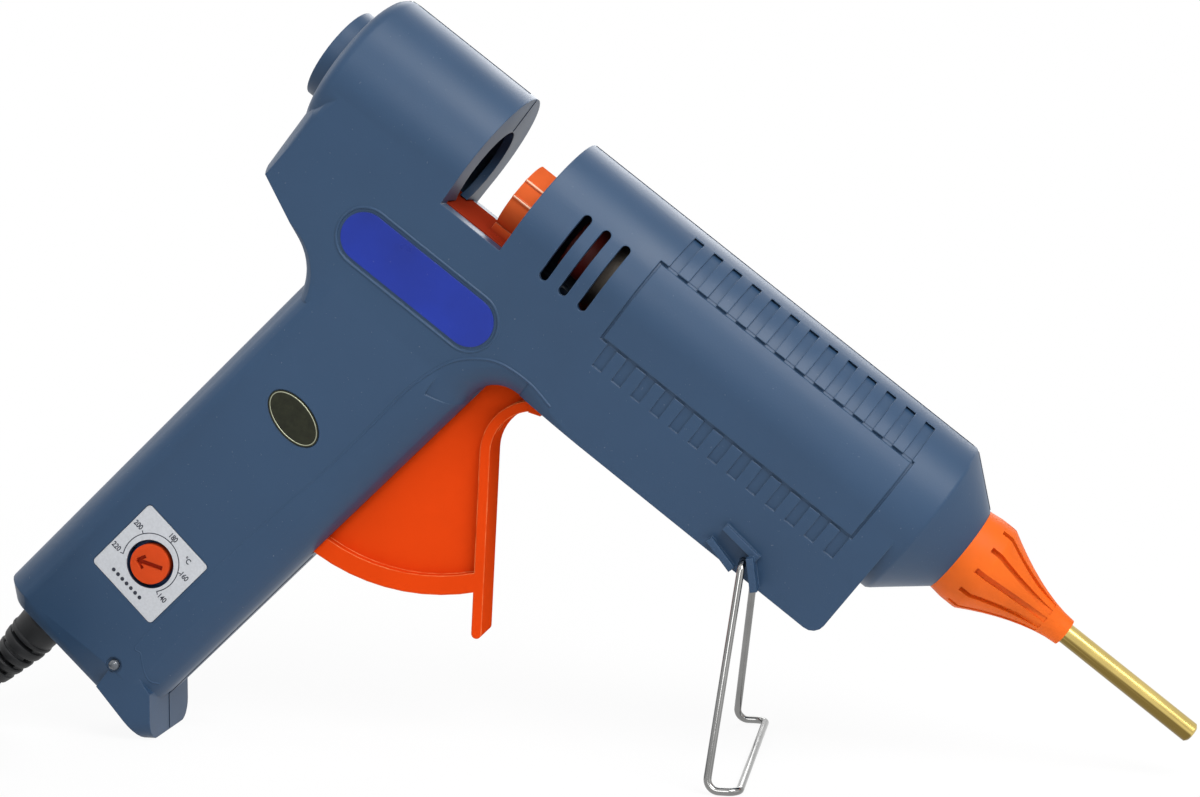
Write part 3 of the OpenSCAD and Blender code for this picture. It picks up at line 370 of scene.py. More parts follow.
def finish(name, colour, roughness, drift, specks=0.0, spread=0.06, grain=0.02, grain_scale=2600.0,
           stretch=(1, 1, 1), turn=(0, 0, 0), edge=0.0, wear_and_highlight=None, wear_and_highlight_share=0.5, reflection_streaks=None, slot_shade=None,
           level=0.5, **sockets):
    """A finish whose tone and roughness drift by an amount at a scale, with a grain, and where edge is set
    with rounded edges painted pale, partly wear and partly painted highlight. Grain and edge are in
    millimetres. The reflection streak colour is a painted dark reflection, drawn out as the grain is. Slot
    shade is painted shade that darkens what lies low in the barrel. Level is the mirrored light's, and
    other sockets take plain values by name."""
    if name in bpy.data.materials:
        return bpy.data.materials[name]
    material = bpy.data.materials.new(name)
    material.use_nodes = True
    tree = material.node_tree
    shader = shader_of(tree)
    shader.inputs["Specular IOR Level"].default_value = level
    for label, value in sockets.items():
        shader.inputs[label.replace("_", " ")].default_value = value
    amount, scale = drift
    tone = place_group(
        tree, tone_drift(), colour=colour_of(colour), amount=amount, scale=scale, specks=specks
    )
    shown = tone["Colour"]
    gloss = map_range(tree, tone["Mottle"], *DRIFT, roughness - spread, roughness + spread)
    tree.links.new(gloss, shader.inputs["Roughness"])
    height = place_group(tree, moulded_grain(), scale=grain_scale, stretch=stretch, turn=turn)
    bump = tree.nodes.new("ShaderNodeBump")
    bump.inputs["Distance"].default_value = grain * MM
    tree.links.new(height["Height"], bump.inputs["Height"])
    # Painted dark reflections, drawn out as the grain is
    if reflection_streaks:
        drawn = place_group(
            tree, moulded_grain(), scale=grain_scale / REFLECTION_STREAK_WIDTH, stretch=stretch, turn=turn
        )
        shown = mix_colour(tree, map_range(tree, drawn["Height"], *REFLECTION_STREAKS), shown, colour_of(reflection_streaks))
    if edge:
        rim = place_group(tree, edge_wear_and_highlight(), radius=edge * MM)
        tree.links.new(rim["Normal"], bump.inputs["Normal"])
        # Pale edges: partly wear, partly painted highlight
        if wear_and_highlight:
            wear_and_highlight_mask = calculate(tree, "MULTIPLY", rim["Mask"], wear_and_highlight_share)
            shown = mix_colour(tree, wear_and_highlight_mask, shown, colour_of(wear_and_highlight))
    # Painted shade: darker towards the low part of the barrel
    if slot_shade:
        shown = mix_colour(tree, map_range(tree, barrel_height(tree), *SLOT_SHADE), shown, colour_of(slot_shade))
    tree.links.new(shown, shader.inputs["Base Color"])
    tree.links.new(bump.outputs["Normal"], shader.inputs["Normal"])
    return material


# Finishes of this object

def moulded_slate():
    return finish(
        "moulded_slate", "slate", 0.42, drift=(0.05, 22), specks=0.14, grain_scale=1900.0,
        edge=size("edge") / MM, wear_and_highlight=(92, 114, 140), level=0.31,
    )


def seam_shadow():
    return finish("seam_shadow", (22, 32, 46), 0.7, drift=(0.2, 120), grain=0.004, level=0.1)


# Pale edges of the trigger: mostly painted highlight along its rim
def moulded_orange():
    return finish(
        "moulded_orange", "orange", 0.68, drift=(0.05, 40), grain=0.010, edge=0.7, wear_and_highlight=(255, 160, 100),
        wear_and_highlight_share=0.9, level=0.0,
    )


# The feed collar's darker low part is painted shade of the feed slot
def collar_plastic():
    return finish(
        "collar_plastic", "collar", 0.46, drift=(0.06, 120), grain=0.008, edge=0.3, wear_and_highlight=(252, 196, 160),
        wear_and_highlight_share=0.8, slot_shade=(138, 40, 22), level=0.0,
    )


# Painted highlight on the ribs of the feed collar
def line_pale():
    return finish("line_pale", (250, 200, 170), 0.4, drift=(0.15, 300), grain=0.006, level=0.3)


def knob_plastic():
    return finish(
        "knob_plastic", "knob", 0.46, drift=(0.07, 150), grain=0.012, edge=0.2, wear_and_highlight=(226, 110, 66),
        level=0.1,
    )


# Painted shade in the arrow groove of the knob
def arrow_shade():
    return finish("arrow_shade", (150, 36, 8), 0.6, drift=(0.1, 200), grain=0.006, level=0.1)


def cover_rubber():
    return finish("cover_rubber", "cover", 0.50, drift=(0.09, 90), level=0.15)


# The dark lines along the brass are painted reflections
def turned_brass():
    return finish(
        "turned_brass", "brass", 0.22, drift=(0.14, 70), spread=0.1, grain=0.014, grain_scale=2200.0,
        stretch=(0.012, 1, 1), turn=(0, -TILT, 0), edge=0.25, reflection_streaks=(110, 90, 44), Metallic=1.0,
    )


def pin_brass():
    return finish("pin_brass", "brass", 0.24, drift=(0.08, 90), grain=0.006, edge=0.2, Metallic=1.0)


def bright_wire():
    return finish(
        "bright_wire", "steel", 0.13, drift=(0.10, 160), spread=0.04, grain=0.001, grain_scale=900.0,
        Metallic=1.0,
    )


def dull_steel():
    return finish(
        "dull_steel", (150, 152, 156), 0.36, drift=(0.12, 200), grain=0.01, edge=0.2, Metallic=1.0
    )


def label_foil():
    return finish(
        "label_foil", "label", 0.32, drift=(0.14, 45), specks=0.1, grain=0.006, edge=0.2,
        wear_and_highlight=(96, 112, 170), level=0.3,
    )


def badge_enamel():
    return finish("badge_enamel", "badge", 0.36, drift=(0.25, 700), grain_scale=1500.0, level=0.2)


def badge_silver():
    return finish("badge_silver", (150, 152, 132), 0.4, drift=(0.10, 400), grain=0.006, Metallic=1.0)


def plate_card():
    return finish(
        "plate_card", "plate", 0.46, drift=(0.06, 1500), grain=0.008, edge=0.2, wear_and_highlight=(236, 240, 244),
        wear_and_highlight_share=0.7, level=0.3,
    )


def print_ink():
    return finish("print_ink", (52, 54, 64), 0.6, drift=(0.25, 900), grain=0.004, level=0.2)


def boot_rubber():
    return finish(
        "boot_rubber", "rubber", 0.52, drift=(0.18, 60), grain=0.03, grain_scale=1400.0, edge=0.3,
        wear_and_highlight=(84, 86, 90), wear_and_highlight_share=0.3, level=0.3,
    )


def cord_jacket():
    return finish("cord_jacket", "rubber", 0.46, drift=(0.15, 40), grain_scale=1200.0, level=0.3)


def tie_strap():
    return finish(
        "tie_strap", (58, 58, 61), 0.72, drift=(0.2, 300), grain=0.08, grain_scale=700.0, level=0.25
    )


def lamp_clear():
    return finish(
        "lamp_clear", (78, 84, 92), 0.14, drift=(0.10, 600), grain=0.003, Coat_Weight=0.6,
        Coat_Roughness=0.06,
    )


def heated_alloy():
    return finish(
        "heated_alloy", (92, 86, 80), 0.5, drift=(0.25, 70), grain=0.06, grain_scale=900.0, edge=0.3,
        Metallic=0.9,
    )


def red_silicone():
    return finish("red_silicone", (122, 34, 28), 0.55, drift=(0.1, 80), edge=0.25)


def heater_ceramic():
    return finish("heater_ceramic", (228, 223, 212), 0.7, drift=(0.06, 90), grain=0.04)


def fibre_board():
    return finish("fibre_board", (140, 106, 74), 0.75, drift=(0.2, 160), grain=0.06)


def green_board():
    return finish("green_board", (44, 106, 62), 0.4, drift=(0.12, 150))


def blue_case():
    return finish("blue_case", (48, 94, 158), 0.45, drift=(0.08, 120), edge=0.2)


def clamp_plastic():
    return finish("clamp_plastic", (216, 213, 203), 0.5, drift=(0.05, 90), edge=0.3)


# Mesh helpers

def dress(node, material, split=32):
    """Gives a node of the frame its finish and smooth shading between its real edges."""
    piece = NODES[node]
    mesh = piece.data
    mesh.materials.clear()
    mesh.materials.append(material)
    if "custom_normal" in mesh.attributes:
        mesh.attributes.remove(mesh.attributes["custom_normal"])
    mesh.shade_smooth()
    weld = piece.modifiers.new("Join triangles", "WELD")
    weld.merge_threshold = 0.002 * MM
    edges = piece.modifiers.new("Keep edges", "EDGE_SPLIT")
    edges.split_angle = radians(split)
    even = piece.modifiers.new("Even shading", "WEIGHTED_NORMAL")
    even.mode = "FACE_AREA"
    even.keep_sharp = True
    return piece


def put_in_scene(name, data):
    """A new object in the scene."""
    item = bpy.data.objects.new(name, data)
    bpy.context.scene.collection.objects.link(item)
    return item


def new_piece(name, mesh, material, body="housing", replaces=(), split=60):
    """Puts a finished mesh in the scene with its finish, riding on a body."""
    mesh.name = name
    mesh.materials.clear()
    mesh.materials.append(material)
    mesh.shade_smooth()
    mesh.set_sharp_from_angle(angle=radians(split))
    piece = put_in_scene(name, mesh)
    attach(piece, body)
    if replaces:
        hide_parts(*replaces)
    return piece


def mesh_of(bm):
    """Closes and turns a bmesh outwards and returns it as a mesh."""
    bmesh.ops.remove_doubles(bm, verts=bm.verts, dist=0.0005 * MM)
    bmesh.ops.recalc_face_normals(bm, faces=bm.faces)
    mesh = bpy.data.meshes.new("piece")
    bm.to_mesh(mesh)
    bm.free()
    return mesh


def tube_curve(name, paths, radius, kind="POLY", sides=4, steps=4):
    """Round tubes along lists of points, as a curve's data."""
    curve = bpy.data.curves.new(name, "CURVE")
    curve.dimensions = "3D"
    curve.bevel_depth = radius
    curve.bevel_resolution = sides
    curve.resolution_u = steps
    curve.use_fill_caps = True
    for points in paths:
        spline = curve.splines.new(kind)
        if kind == "BEZIER":
            spline.bezier_points.add(len(points) - 1)
            for knot, point in zip(spline.bezier_points, points):
                knot.co = point
                knot.handle_left_type = "AUTO"
                knot.handle_right_type = "AUTO"
        else:
            spline.points.add(len(points) - 1)
            for knot, point in zip(spline.points, points):
                knot.co = (*point, 1)
    return curve


def mesh_from_curve(curve):
    """Turns a curve or a text into a mesh and drops the curve."""
    holder = put_in_scene("path", curve)
    graph = bpy.context.evaluated_depsgraph_get()
    mesh = bpy.data.meshes.new_from_object(holder.evaluated_get(graph))
    bpy.data.objects.remove(holder)
    return mesh


def joined(meshes):
    """One closed mesh from several."""
    bm = bmesh.new()
    for mesh in meshes:
        bm.from_mesh(mesh)
        bpy.data.meshes.remove(mesh)
    return mesh_of(bm)


def tubes(paths, radius, sides=4, closed=False):
    """Mesh of round tubes along lists of points."""
    curve = tube_curve("tubes", paths, radius, sides=sides)
    for spline in curve.splines:
        spline.use_cyclic_u = closed
    return joined([mesh_from_curve(curve)])


def rounded_path(corners, radii, steps=10):
    """Points along straight runs through corners, each corner turned at its radius."""
    points = [Vector(corners[0])]
    for before, corner, after, radius in zip(corners, corners[1:], corners[2:], radii):
        corner = Vector(corner)
        arrive = (corner - Vector(before)).normalized()
        leave = (Vector(after) - corner).normalized()
        turn = arrive.angle(leave)
        inward = (leave - arrive).normalized()
        centre = corner + inward * (radius / cos(turn / 2))
        start = corner - arrive * (radius * tan(turn / 2)) - centre
        axis = arrive.cross(leave)
        for step in range(steps + 1):
            points.append(centre + Matrix.Rotation(turn * step / steps, 3, axis) @ start)
    points.append(Vector(corners[-1]))
    return points


def smooth_path(points, steps=6):
    """Points of a smooth line through points, steps to each stretch."""
    knots = [Vector(point) for point in points]
    knots = [2 * knots[0] - knots[1]] + knots + [2 * knots[-1] - knots[-2]]
    line = []
    for a, b, c, d in zip(knots, knots[1:], knots[2:], knots[3:]):
        for step in range(steps):
            t = step / steps
            line.append(
                b + (c - a) * (t / 2) + (a - b * 2.5 + c * 2 - d / 2) * t ** 2
                + (d - a + (b - c) * 3) * (t ** 3 / 2)
            )
    return line + [knots[-2]]


def surface_runs(node, starts, way, step):
    """Runs of points where lines from the starts first meet a node, broken where they jump over a step."""
    runs = [[]]
    for start in starts:
        hit, point, _, _ = NODES[node].ray_cast(start, way)
        if runs[-1] and (not hit or (point - runs[-1][-1]).length > step):
            runs.append([])
        if hit:
            runs[-1].append(point)
    return [run for run in runs if len(run) > 1]


# Flat side of the grip: half its width at one height, and how fast it widens upwards
GRIP_HALF = 18.389
GRIP_HALF_AT = -50
GRIP_SLOPE = 0.0165865
PLATE_PROUD = 0.2


def side_frame(x, z, turn=0.0):
    """Frame in millimetres on the flat right side of the grip: x along, y up, z out of it."""
    half = GRIP_HALF + (z - GRIP_HALF_AT) * GRIP_SLOPE
    lean = Matrix.Rotation(atan(GRIP_SLOPE), 4, "X")
    return (
        GUN @ Matrix.Translation((x, -half, z)) @ lean @ Matrix.Rotation(radians(turn), 4, "Y")
        @ Matrix.Rotation(pi / 2, 4, "X")
    )


# Cord: the route's points as in the part's source, then a coil worked out as there, whose inmost turn
# rises to the upper layer over a share of a turn
BOOT_LEAN = radians(7)
BOOT_DIRECTION = TURN @ Vector((-sin(BOOT_LEAN), 0, -cos(BOOT_LEAN)))
BOOT_BASE = GUN @ Vector((-195.5, 0, -186.35))
BOOT_LENGTH = 28 * MM
CORD_INSIDE = 4 * MM
FREE_STRETCH = [
    (-184.9, 0, 12), (-188.9, 0, 8.7), (-193.2, 0, 6.3), (-198.2, 0, 4.75), (-203.4, 0, 4.25),
    (-209, 0, 4.2),
]
COIL_TURNS = 3
COIL_INNER = 26.4
COIL_GAP = 0.6
COIL_HEIGHT = 4.2
COIL_X = -218
STEPS_PER_TURN = 24
LAYER_RISE_OVER = 0.5

# Lead to the plug: its turn and steps in degrees, how far in it goes and over which turn, the turn over
# which it rises, and how far its last points reach
LEAD_TURN = 180
LEAD_STEP = 15
LEAD_IN = 14
LEAD_IN_AT = 40
LEAD_IN_OVER = 100
LEAD_RISE_OVER = 80
LEAD_REACH = (3, 14)

# Strain relief in millimetres along its axis. Rings: bore, outer radius at both ends, ends and rounding.
# Pairs of bridges that join the last of them: bore, outer radius, ends, and the turn of the pair in degrees
BOOT_RINGS = [
    (3.3, 6.0, 6.0, -8.0, 1.2, 0.3), (3.3, 8.3, 8.1, 1.0, 4.2, 0.9), (3.3, 7.3, 6.9, 4.0, 10.0, 0.3),
    (3.3, 7.15, 7.15, 9.8, 11.5, 0.6), (4.2, 6.9, 6.65, 12.5, 15.7, 0.7), (4.2, 6.15, 5.9, 16.9, 19.7, 0.7),
    (4.2, 5.4, 5.15, 20.9, 23.3, 0.7), (3.3, 4.7, 4.1, 24.5, 28.0, 0.5),
]
BOOT_BRIDGES = [
    (4.2, 6.2, 11.3, 12.7, 0), (4.2, 5.45, 15.7, 17.1, 90), (4.2, 4.7, 19.7, 21.1, 0),
    (3.4, 4.5, 23.1, 24.7, 0),
]
BRIDGE_TURN = radians(92)
BRIDGE_ROUNDING = 0.1

# Ridges of the plug: how many, where the first is, their pitch and radius, and their turn each way
RIDGES = 5
RIDGE_START = 5 * MM
RIDGE_PITCH = 2.6 * MM
RIDGE_RADIUS = 0.55 * MM
RIDGE_TURN = 60
RIDGE_STEP = 12


def smooth_step(t):
    t = min(1.0, max(0.0, t))
    return t * t * (3 - 2 * t)


def coil_points(diameter):
    """Two layers of turns, in and out again, then the lead to the plug, in millimetres."""
    pitch = diameter + COIL_GAP
    outer = COIL_INNER + COIL_TURNS * pitch
    middle = Vector((COIL_X, -outer, 0))

    def at(angle, radius, height):
        return middle + Vector((radius * cos(angle), radius * sin(angle), height))

    points = []
    for i in range(STEPS_PER_TURN * 2 * COIL_TURNS + 1):
        t = i / STEPS_PER_TURN - COIL_TURNS
        height = COIL_HEIGHT + pitch * smooth_step(t / LAYER_RISE_OVER + 0.5)
        angle = radians(90 + 360 / STEPS_PER_TURN * i)
        points.append(at(angle, COIL_INNER + pitch * abs(t), height))
    for degrees in range(LEAD_STEP, LEAD_TURN + 1, LEAD_STEP):
        radius = outer - LEAD_IN * smooth_step((degrees - LEAD_IN_AT) / LEAD_IN_OVER)
        rise = (pitch + COIL_GAP) * smooth_step(degrees / LEAD_RISE_OVER)
        points.append(at(radians(90 + degrees), radius, COIL_HEIGHT + pitch + rise))
    last = radians(90 + LEAD_TURN)
    leave = Vector((-sin(last), cos(last), 0))
    points += [points[-1] + leave * reach for reach in LEAD_REACH]
    return points


def ring(bm, inner, outer, far, z0, z1, rounding, turn=tau, start=0.0):
    """Ring around z with rounded outer edges, whose outside goes from outer to far, or a sector of one."""
    soft = 0.3 * rounding
    corners = [
        (inner, z0), (outer - rounding, z0), (outer - soft, z0 + soft), (outer, z0 + rounding),
        (far, z1 - rounding), (far - soft, z1 - soft), (far - rounding, z1), (inner, z1),
    ]
    aim = Matrix.Rotation(start, 3, "Z")
    verts = [bm.verts.new(aim @ Vector((r, 0, z))) for r, z in corners]
    edges = [bm.edges.new(ends) for ends in zip(verts, verts[1:] + verts[:1])]
    whole = turn == tau
    bmesh.ops.spin(
        bm, geom=verts + edges, cent=(0, 0, 0), axis=(0, 0, 1), angle=turn, steps=48 if whole else 12,
        use_merge=whole,
    )
    bmesh.ops.holes_fill(bm, edges=[edge for edge in bm.edges if edge.is_boundary])


class APPLICATOR_OT_cord(bpy.types.Operator):
    """Cord with its coil, strain relief, tie and plug"""

    bl_idname = "applicator.cord"
    bl_label = "Cord"

    def execute(self, context):
        diameter = size("cord")
        route = [BOOT_BASE - BOOT_DIRECTION * CORD_INSIDE, BOOT_BASE + BOOT_DIRECTION * BOOT_LENGTH]
        route += [Vector(point) * MM for point in FREE_STRETCH]
        route.append(Vector((COIL_X + diameter / MM, 0, COIL_HEIGHT)) * MM)
        route += [point * MM for point in coil_points(diameter / MM)]
        curve = tube_curve("power_lead", [route], diameter / 2, kind="BEZIER", sides=5, steps=5)
        curve.materials.append(cord_jacket())
        lead = put_in_scene("power_lead", curve)
        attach(lead, "housing")
        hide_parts("power_cord", "cord_coil")
        carried = [self.tie(), self.boot(), self.plug_grip()]
        carried.append(dress("plug_body", boot_rubber(), split=40))
        carried.append(dress("plug_pins", pin_brass()))
        return {"FINISHED"}

    def tie(self):
        """Strap around all the turns of the coil."""
        low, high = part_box("cord_tie")
        bm = bmesh.new()
        bmesh.ops.create_cube(bm, size=1)
        bmesh.ops.scale(bm, vec=high - low, verts=bm.verts)
        bmesh.ops.translate(bm, vec=(high + low) / 2, verts=bm.verts)
        ends = [face for face in bm.faces if abs(face.normal.y) > 0.9]
        bmesh.ops.delete(bm, geom=ends, context="FACES_ONLY")
        corners = [edge for edge in bm.edges if len(edge.link_faces) == 2]
        bmesh.ops.bevel(
            bm, geom=corners, offset=3 * MM, segments=5, profile=0.5, affect="EDGES", material=-1
        )
        bmesh.ops.recalc_face_normals(bm, faces=bm.faces)
        bmesh.ops.solidify(bm, geom=list(bm.faces), thickness=0.9 * MM)
        return new_piece(
            "cord_strap", mesh_of(bm), tie_strap(), replaces=["cord_tie"], split=35
        )

    def boot(self):
        """Strain relief: a flange, a smooth sleeve, then rings joined by bridges that leave windows."""
        across = ACROSS.cross(BOOT_DIRECTION)
        turned = Matrix((across, ACROSS, BOOT_DIRECTION)).transposed().to_4x4()
        frame = Matrix.Translation(BOOT_BASE) @ turned @ Matrix.Scale(MM, 4)
        bm = bmesh.new()
        for values in BOOT_RINGS:
            ring(bm, *values)
        for inner, outer, z0, z1, turn in BOOT_BRIDGES:
            for side in (turn, turn + 180):
                start = radians(side) - BRIDGE_TURN / 2
                ring(bm, inner, outer, outer, z0, z1, BRIDGE_ROUNDING, BRIDGE_TURN, start)
        bmesh.ops.transform(bm, matrix=frame, verts=bm.verts)
        return new_piece(
            "strain_relief_boot", mesh_of(bm), boot_rubber(), replaces=["strain_relief"],
            split=35,
        )

    def plug_grip(self):
        """Ridges for the fingers on both sides of the plug."""
        low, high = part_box("plug_body")
        middle = (low + high) / 2
        radius = (high.z - low.z) / 2
        turns = [radians(turn) for turn in range(-RIDGE_TURN, RIDGE_TURN + 1, RIDGE_STEP)]
        paths = []
        for side in (-1, 1):
            y = middle.y + side * ((high.y - low.y) / 2 - radius)
            for i in range(RIDGES):
                centre = Vector((high.x - RIDGE_START - RIDGE_PITCH * i, y, middle.z))
                paths.append([
                    centre + radius * Vector((0, side * cos(turn), sin(turn))) for turn in turns
                ])
        return new_piece("plug_grip", tubes(paths, RIDGE_RADIUS), boot_rubber())


# Line along the throat and the front of the grip where its flat side ends, x and z along the barrel
CREASE = [
    (-113.6, -37.9), (-122.5, -36.3), (-131.9, -37.1), (-138.1, -40.3), (-143.2, -45.5), (-146.5, -52.5),
    (-149.0, -62.1), (-150.9, -77.1), (-153.7, -95.2), (-160.0, -127.2), (-166.7, -168.1), (-163.9, -172.8),
    (-158.4, -177.6), (-155.1, -177.4),
]

# Points between which the line sinks in deeper, and how deep at each as shares of its radius
CREASE_TOP = (-138, 0, -40)
CREASE_FOOT = (-160, 0, -127)
CREASE_SUNK = (0.4, 0.82)
CREASE_STEPS = 14

# Stretches of the line between the halves: from, to, the way to look for the housing, and points
SEAM_STRETCHES = [
    ((-172, 60), (-219.5, 60), (0, -1), 20), ((-260, 24.5), (-260, 6.4), (1, 0), 24),
    ((-260, -6.4), (-260, -186), (1, 0), 100), ((-212, -260), (-204.5, -260), (0, 1), 6),
    ((-186.5, -260), (-151, -260), (0, 1), 30), ((-100, -204), (-100, -121.5), (-1, 0), 60),
    ((-18, -90), (-108, -90), (0, 1), 40), ((60, -40.5), (60, -15), (-1, 0), 24),
    ((-0.5, 60), (-150.5, 60), (0, -1), 60), ((-160, 24.6), (-160, 13.6), (-1, 0), 8),
    ((-160, 24.6), (-160, 12.2), (1, 0), 8),
]
LINE_BREAK = 5 * MM

# Distances from the middle plane in millimetres: outside the housing, and of the line on the right half
OUTSIDE = 60
SEAM_SIDE = -0.03


def crease_sunk(height):
    """How deep the raised line is sunk, as a share of its radius: more towards the foot of the grip."""
    top, foot = gun(*CREASE_TOP).z, gun(*CREASE_FOOT).z
    least, most = CREASE_SUNK
    return least + (most - least) * smooth_step((top - height) / (top - foot))


class APPLICATOR_OT_housing(bpy.types.Operator):
    """Two halves of the housing, the raised line along the grip and the parting line"""

    bl_idname = "applicator.housing"
    bl_label = "Housing"

    def execute(self, context):
        for node, side in (("housing_right", -1), ("housing_left", 1)):
            dress(node, moulded_slate(), split=30)
            starts = [gun(point.x, side * OUTSIDE, point.y) for point in smooth_path(CREASE, CREASE_STEPS)]
            runs = surface_runs(node, starts, -side * ACROSS, LINE_BREAK)
            for run in runs:
                for point in run:
                    point -= side * ACROSS * size("crease") * crease_sunk(point.z)
            line = tubes(runs, size("crease"))
            name = node.replace("housing", "crease")
            new_piece(name, line, moulded_slate())
        runs = []
        for first, last, way, count in SEAM_STRETCHES:
            spots = [Vector(first).lerp(Vector(last), i / count) for i in range(count + 1)]
            starts = [gun(spot.x, SEAM_SIDE, spot.y) for spot in spots]
            runs += surface_runs("housing_right", starts, TURN @ Vector((way[0], 0, way[1])), LINE_BREAK)
        seam = tubes(runs, size("seam"), sides=2)
        new_piece("parting_line", seam, seam_shadow())
        return {"FINISHED"}


# Return spring: its pitch in wire diameters, and points to a turn
SPRING_PITCH = 1.04
SPRING_STEPS = 28


class APPLICATOR_OT_trigger(bpy.types.Operator):
    """Trigger with its pin and return spring"""

    bl_idname = "applicator.trigger"
    bl_label = "Trigger"

    def execute(self, context):
        dress("trigger", moulded_orange(), split=30)
        dress("trigger_pin", dull_steel())
        self.spring()
        return {"FINISHED"}

    def spring(self):
        """Coil spring around the trigger's pin."""
        wire = size("spring")
        low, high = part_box("return_spring")
        centre = (low + high) / 2
        outer = (high.x - low.x) / 2 - wire / 2
        first, last = low.y + wire / 2, high.y - wire / 2
        turns = (last - first) / (wire * SPRING_PITCH)
        count = round(turns * SPRING_STEPS)
        path = []
        for i in range(count + 1):
            angle = tau * turns * i / count
            along = first + (last - first) * i / count
            path.append(Vector((
                centre.x + outer * cos(angle), along, centre.z + outer * sin(angle)
            )))
        new_piece(
            "trigger_spring", tubes([path], wire / 2), dull_steel(), replaces=["return_spring"],
        )


# Collar of the feed: its ends, the radius of its two ribs' tops, how far round they are, and
# the radius of the pale lines on them, which are painted highlights
COLLAR = (-159.0, -143.4, 11.15)
COLLAR_HIGHLIGHT_TURNS = (56, 86)
COLLAR_HIGHLIGHT_RADIUS = 0.32 * MM


class APPLICATOR_OT_feed(bpy.types.Operator):
    """Feed carriage, its drive pin and stick grip, and the stick sleeve"""

    bl_idname = "applicator.feed"
    bl_label = "Feed"

    def execute(self, context):
        dress("feed_carriage", collar_plastic())
        # Pale lines on the collar's ribs: painted highlights
        start, end, radius = COLLAR
        paths = []
        for turn in COLLAR_HIGHLIGHT_TURNS:
            out = Vector((0, -sin(radians(turn)), cos(radians(turn)))) * radius
            paths.append([gun(start, out.y, out.z), gun(end, out.y, out.z)])
        new_piece(
            "collar_lines", tubes(paths, COLLAR_HIGHLIGHT_RADIUS), line_pale(), body="carriage"
        )
        dress("drive_pin", dull_steel())
        dress("stick_grip", dull_steel())
        dress("stick_sleeve", red_silicone())
        return {"FINISHED"}


class APPLICATOR_OT_nozzle(bpy.types.Operator):
    """Brass nozzle and its soft cover"""

    bl_idname = "applicator.nozzle"
    bl_label = "Nozzle"

    def execute(self, context):
        dress("nozzle", turned_brass())
        dress("nozzle_cover", cover_rubber())
        return {"FINISHED"}


# Stand wire: how far out its ends and its knees are, and the radius of the bends of one side
STAND_END = 14.6 * MM
STAND_KNEE = 25.35 * MM
STAND_BENDS = (2.4 * MM, 3.2 * MM, 3.2 * MM)


class APPLICATOR_OT_stand(bpy.types.Operator):
    """Bent wire stand"""

    bl_idname = "applicator.stand"
    bl_label = "Stand"

    def execute(self, context):
        radius = size("wire") / 2
        pivot = Vector(JOINTS["stand_fold"]["pos_m"])
        low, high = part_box("stand")
        foot = high.y - radius
        heel, toe = low.x + radius, high.x - radius
        ground = low.z + radius
        half = [
            (pivot.x, STAND_END, pivot.z), (pivot.x, STAND_KNEE, pivot.z), (heel, foot, ground),
            (toe, foot, ground),
        ]
        corners = [(x, -y, z) for x, y, z in half] + half[::-1]
        wire = tubes([rounded_path(corners, STAND_BENDS + STAND_BENDS[::-1])], radius, sides=6)
        new_piece(
            "stand_wire", wire, bright_wire(), body="stand", replaces=["stand"], split=50
        )
        return {"FINISHED"}


# Dial: its middle on the side of the grip, the turn of its plate and knob, and the print around the knob
DIAL = (-177.8, -149.2)
DIAL_TURN = 8.4
ARROW_TURN = -20.4
SCALE_MIDDLE = Vector((-0.2, 0.5, 0))
SCALE_RADIUS = 8.64
SCALE_ENDS = (-32.7, 210.0)
SCALE_MARKS = (-32.7, 28.0, 90.0, 150.0, 210.0)
NUMBERS = [
    ("220", -10.6, -3.9), ("200", -10.5, 5.6), ("180", -0.7, 10.8), ("\u00b0C", 6.9, 9.2),
    ("160", 9.5, 5.1), ("140", 9.5, -4.4),
]
DIGIT_SHARE = 0.69
DIGIT_WIDTH = 0.84
DOTS = [(-6.3 + 1.85 * i, -9.4) for i in range(7)]
RULE_RADIUS = 0.15
RULE_FLAT = 0.3
RULE_STEPS = 60
MARK_ENDS = (SCALE_RADIUS - 0.1, SCALE_RADIUS + 1.0)

# Arrow: its bars' starts, lengths, widths and turns, the start's gap, and the bars' depth and thickness
ARROW_BARS = [(-3.95, 7.8, 1.3, 0), (-4, 2.9, 0.9, -40), (-4, 2.9, 0.9, 40)]
ARROW_GAP = 0.05
ARROW_DEPTH = 0.5
ARROW_THICK = 0.3

# Lens: its middle on the side of the grip, its radius, how flat its dome is and how long its stem
LENS = (-168.6, -180.6)
LENS_RADIUS = 1.6
LENS_FLAT = 0.7
LENS_STEM = 2.6


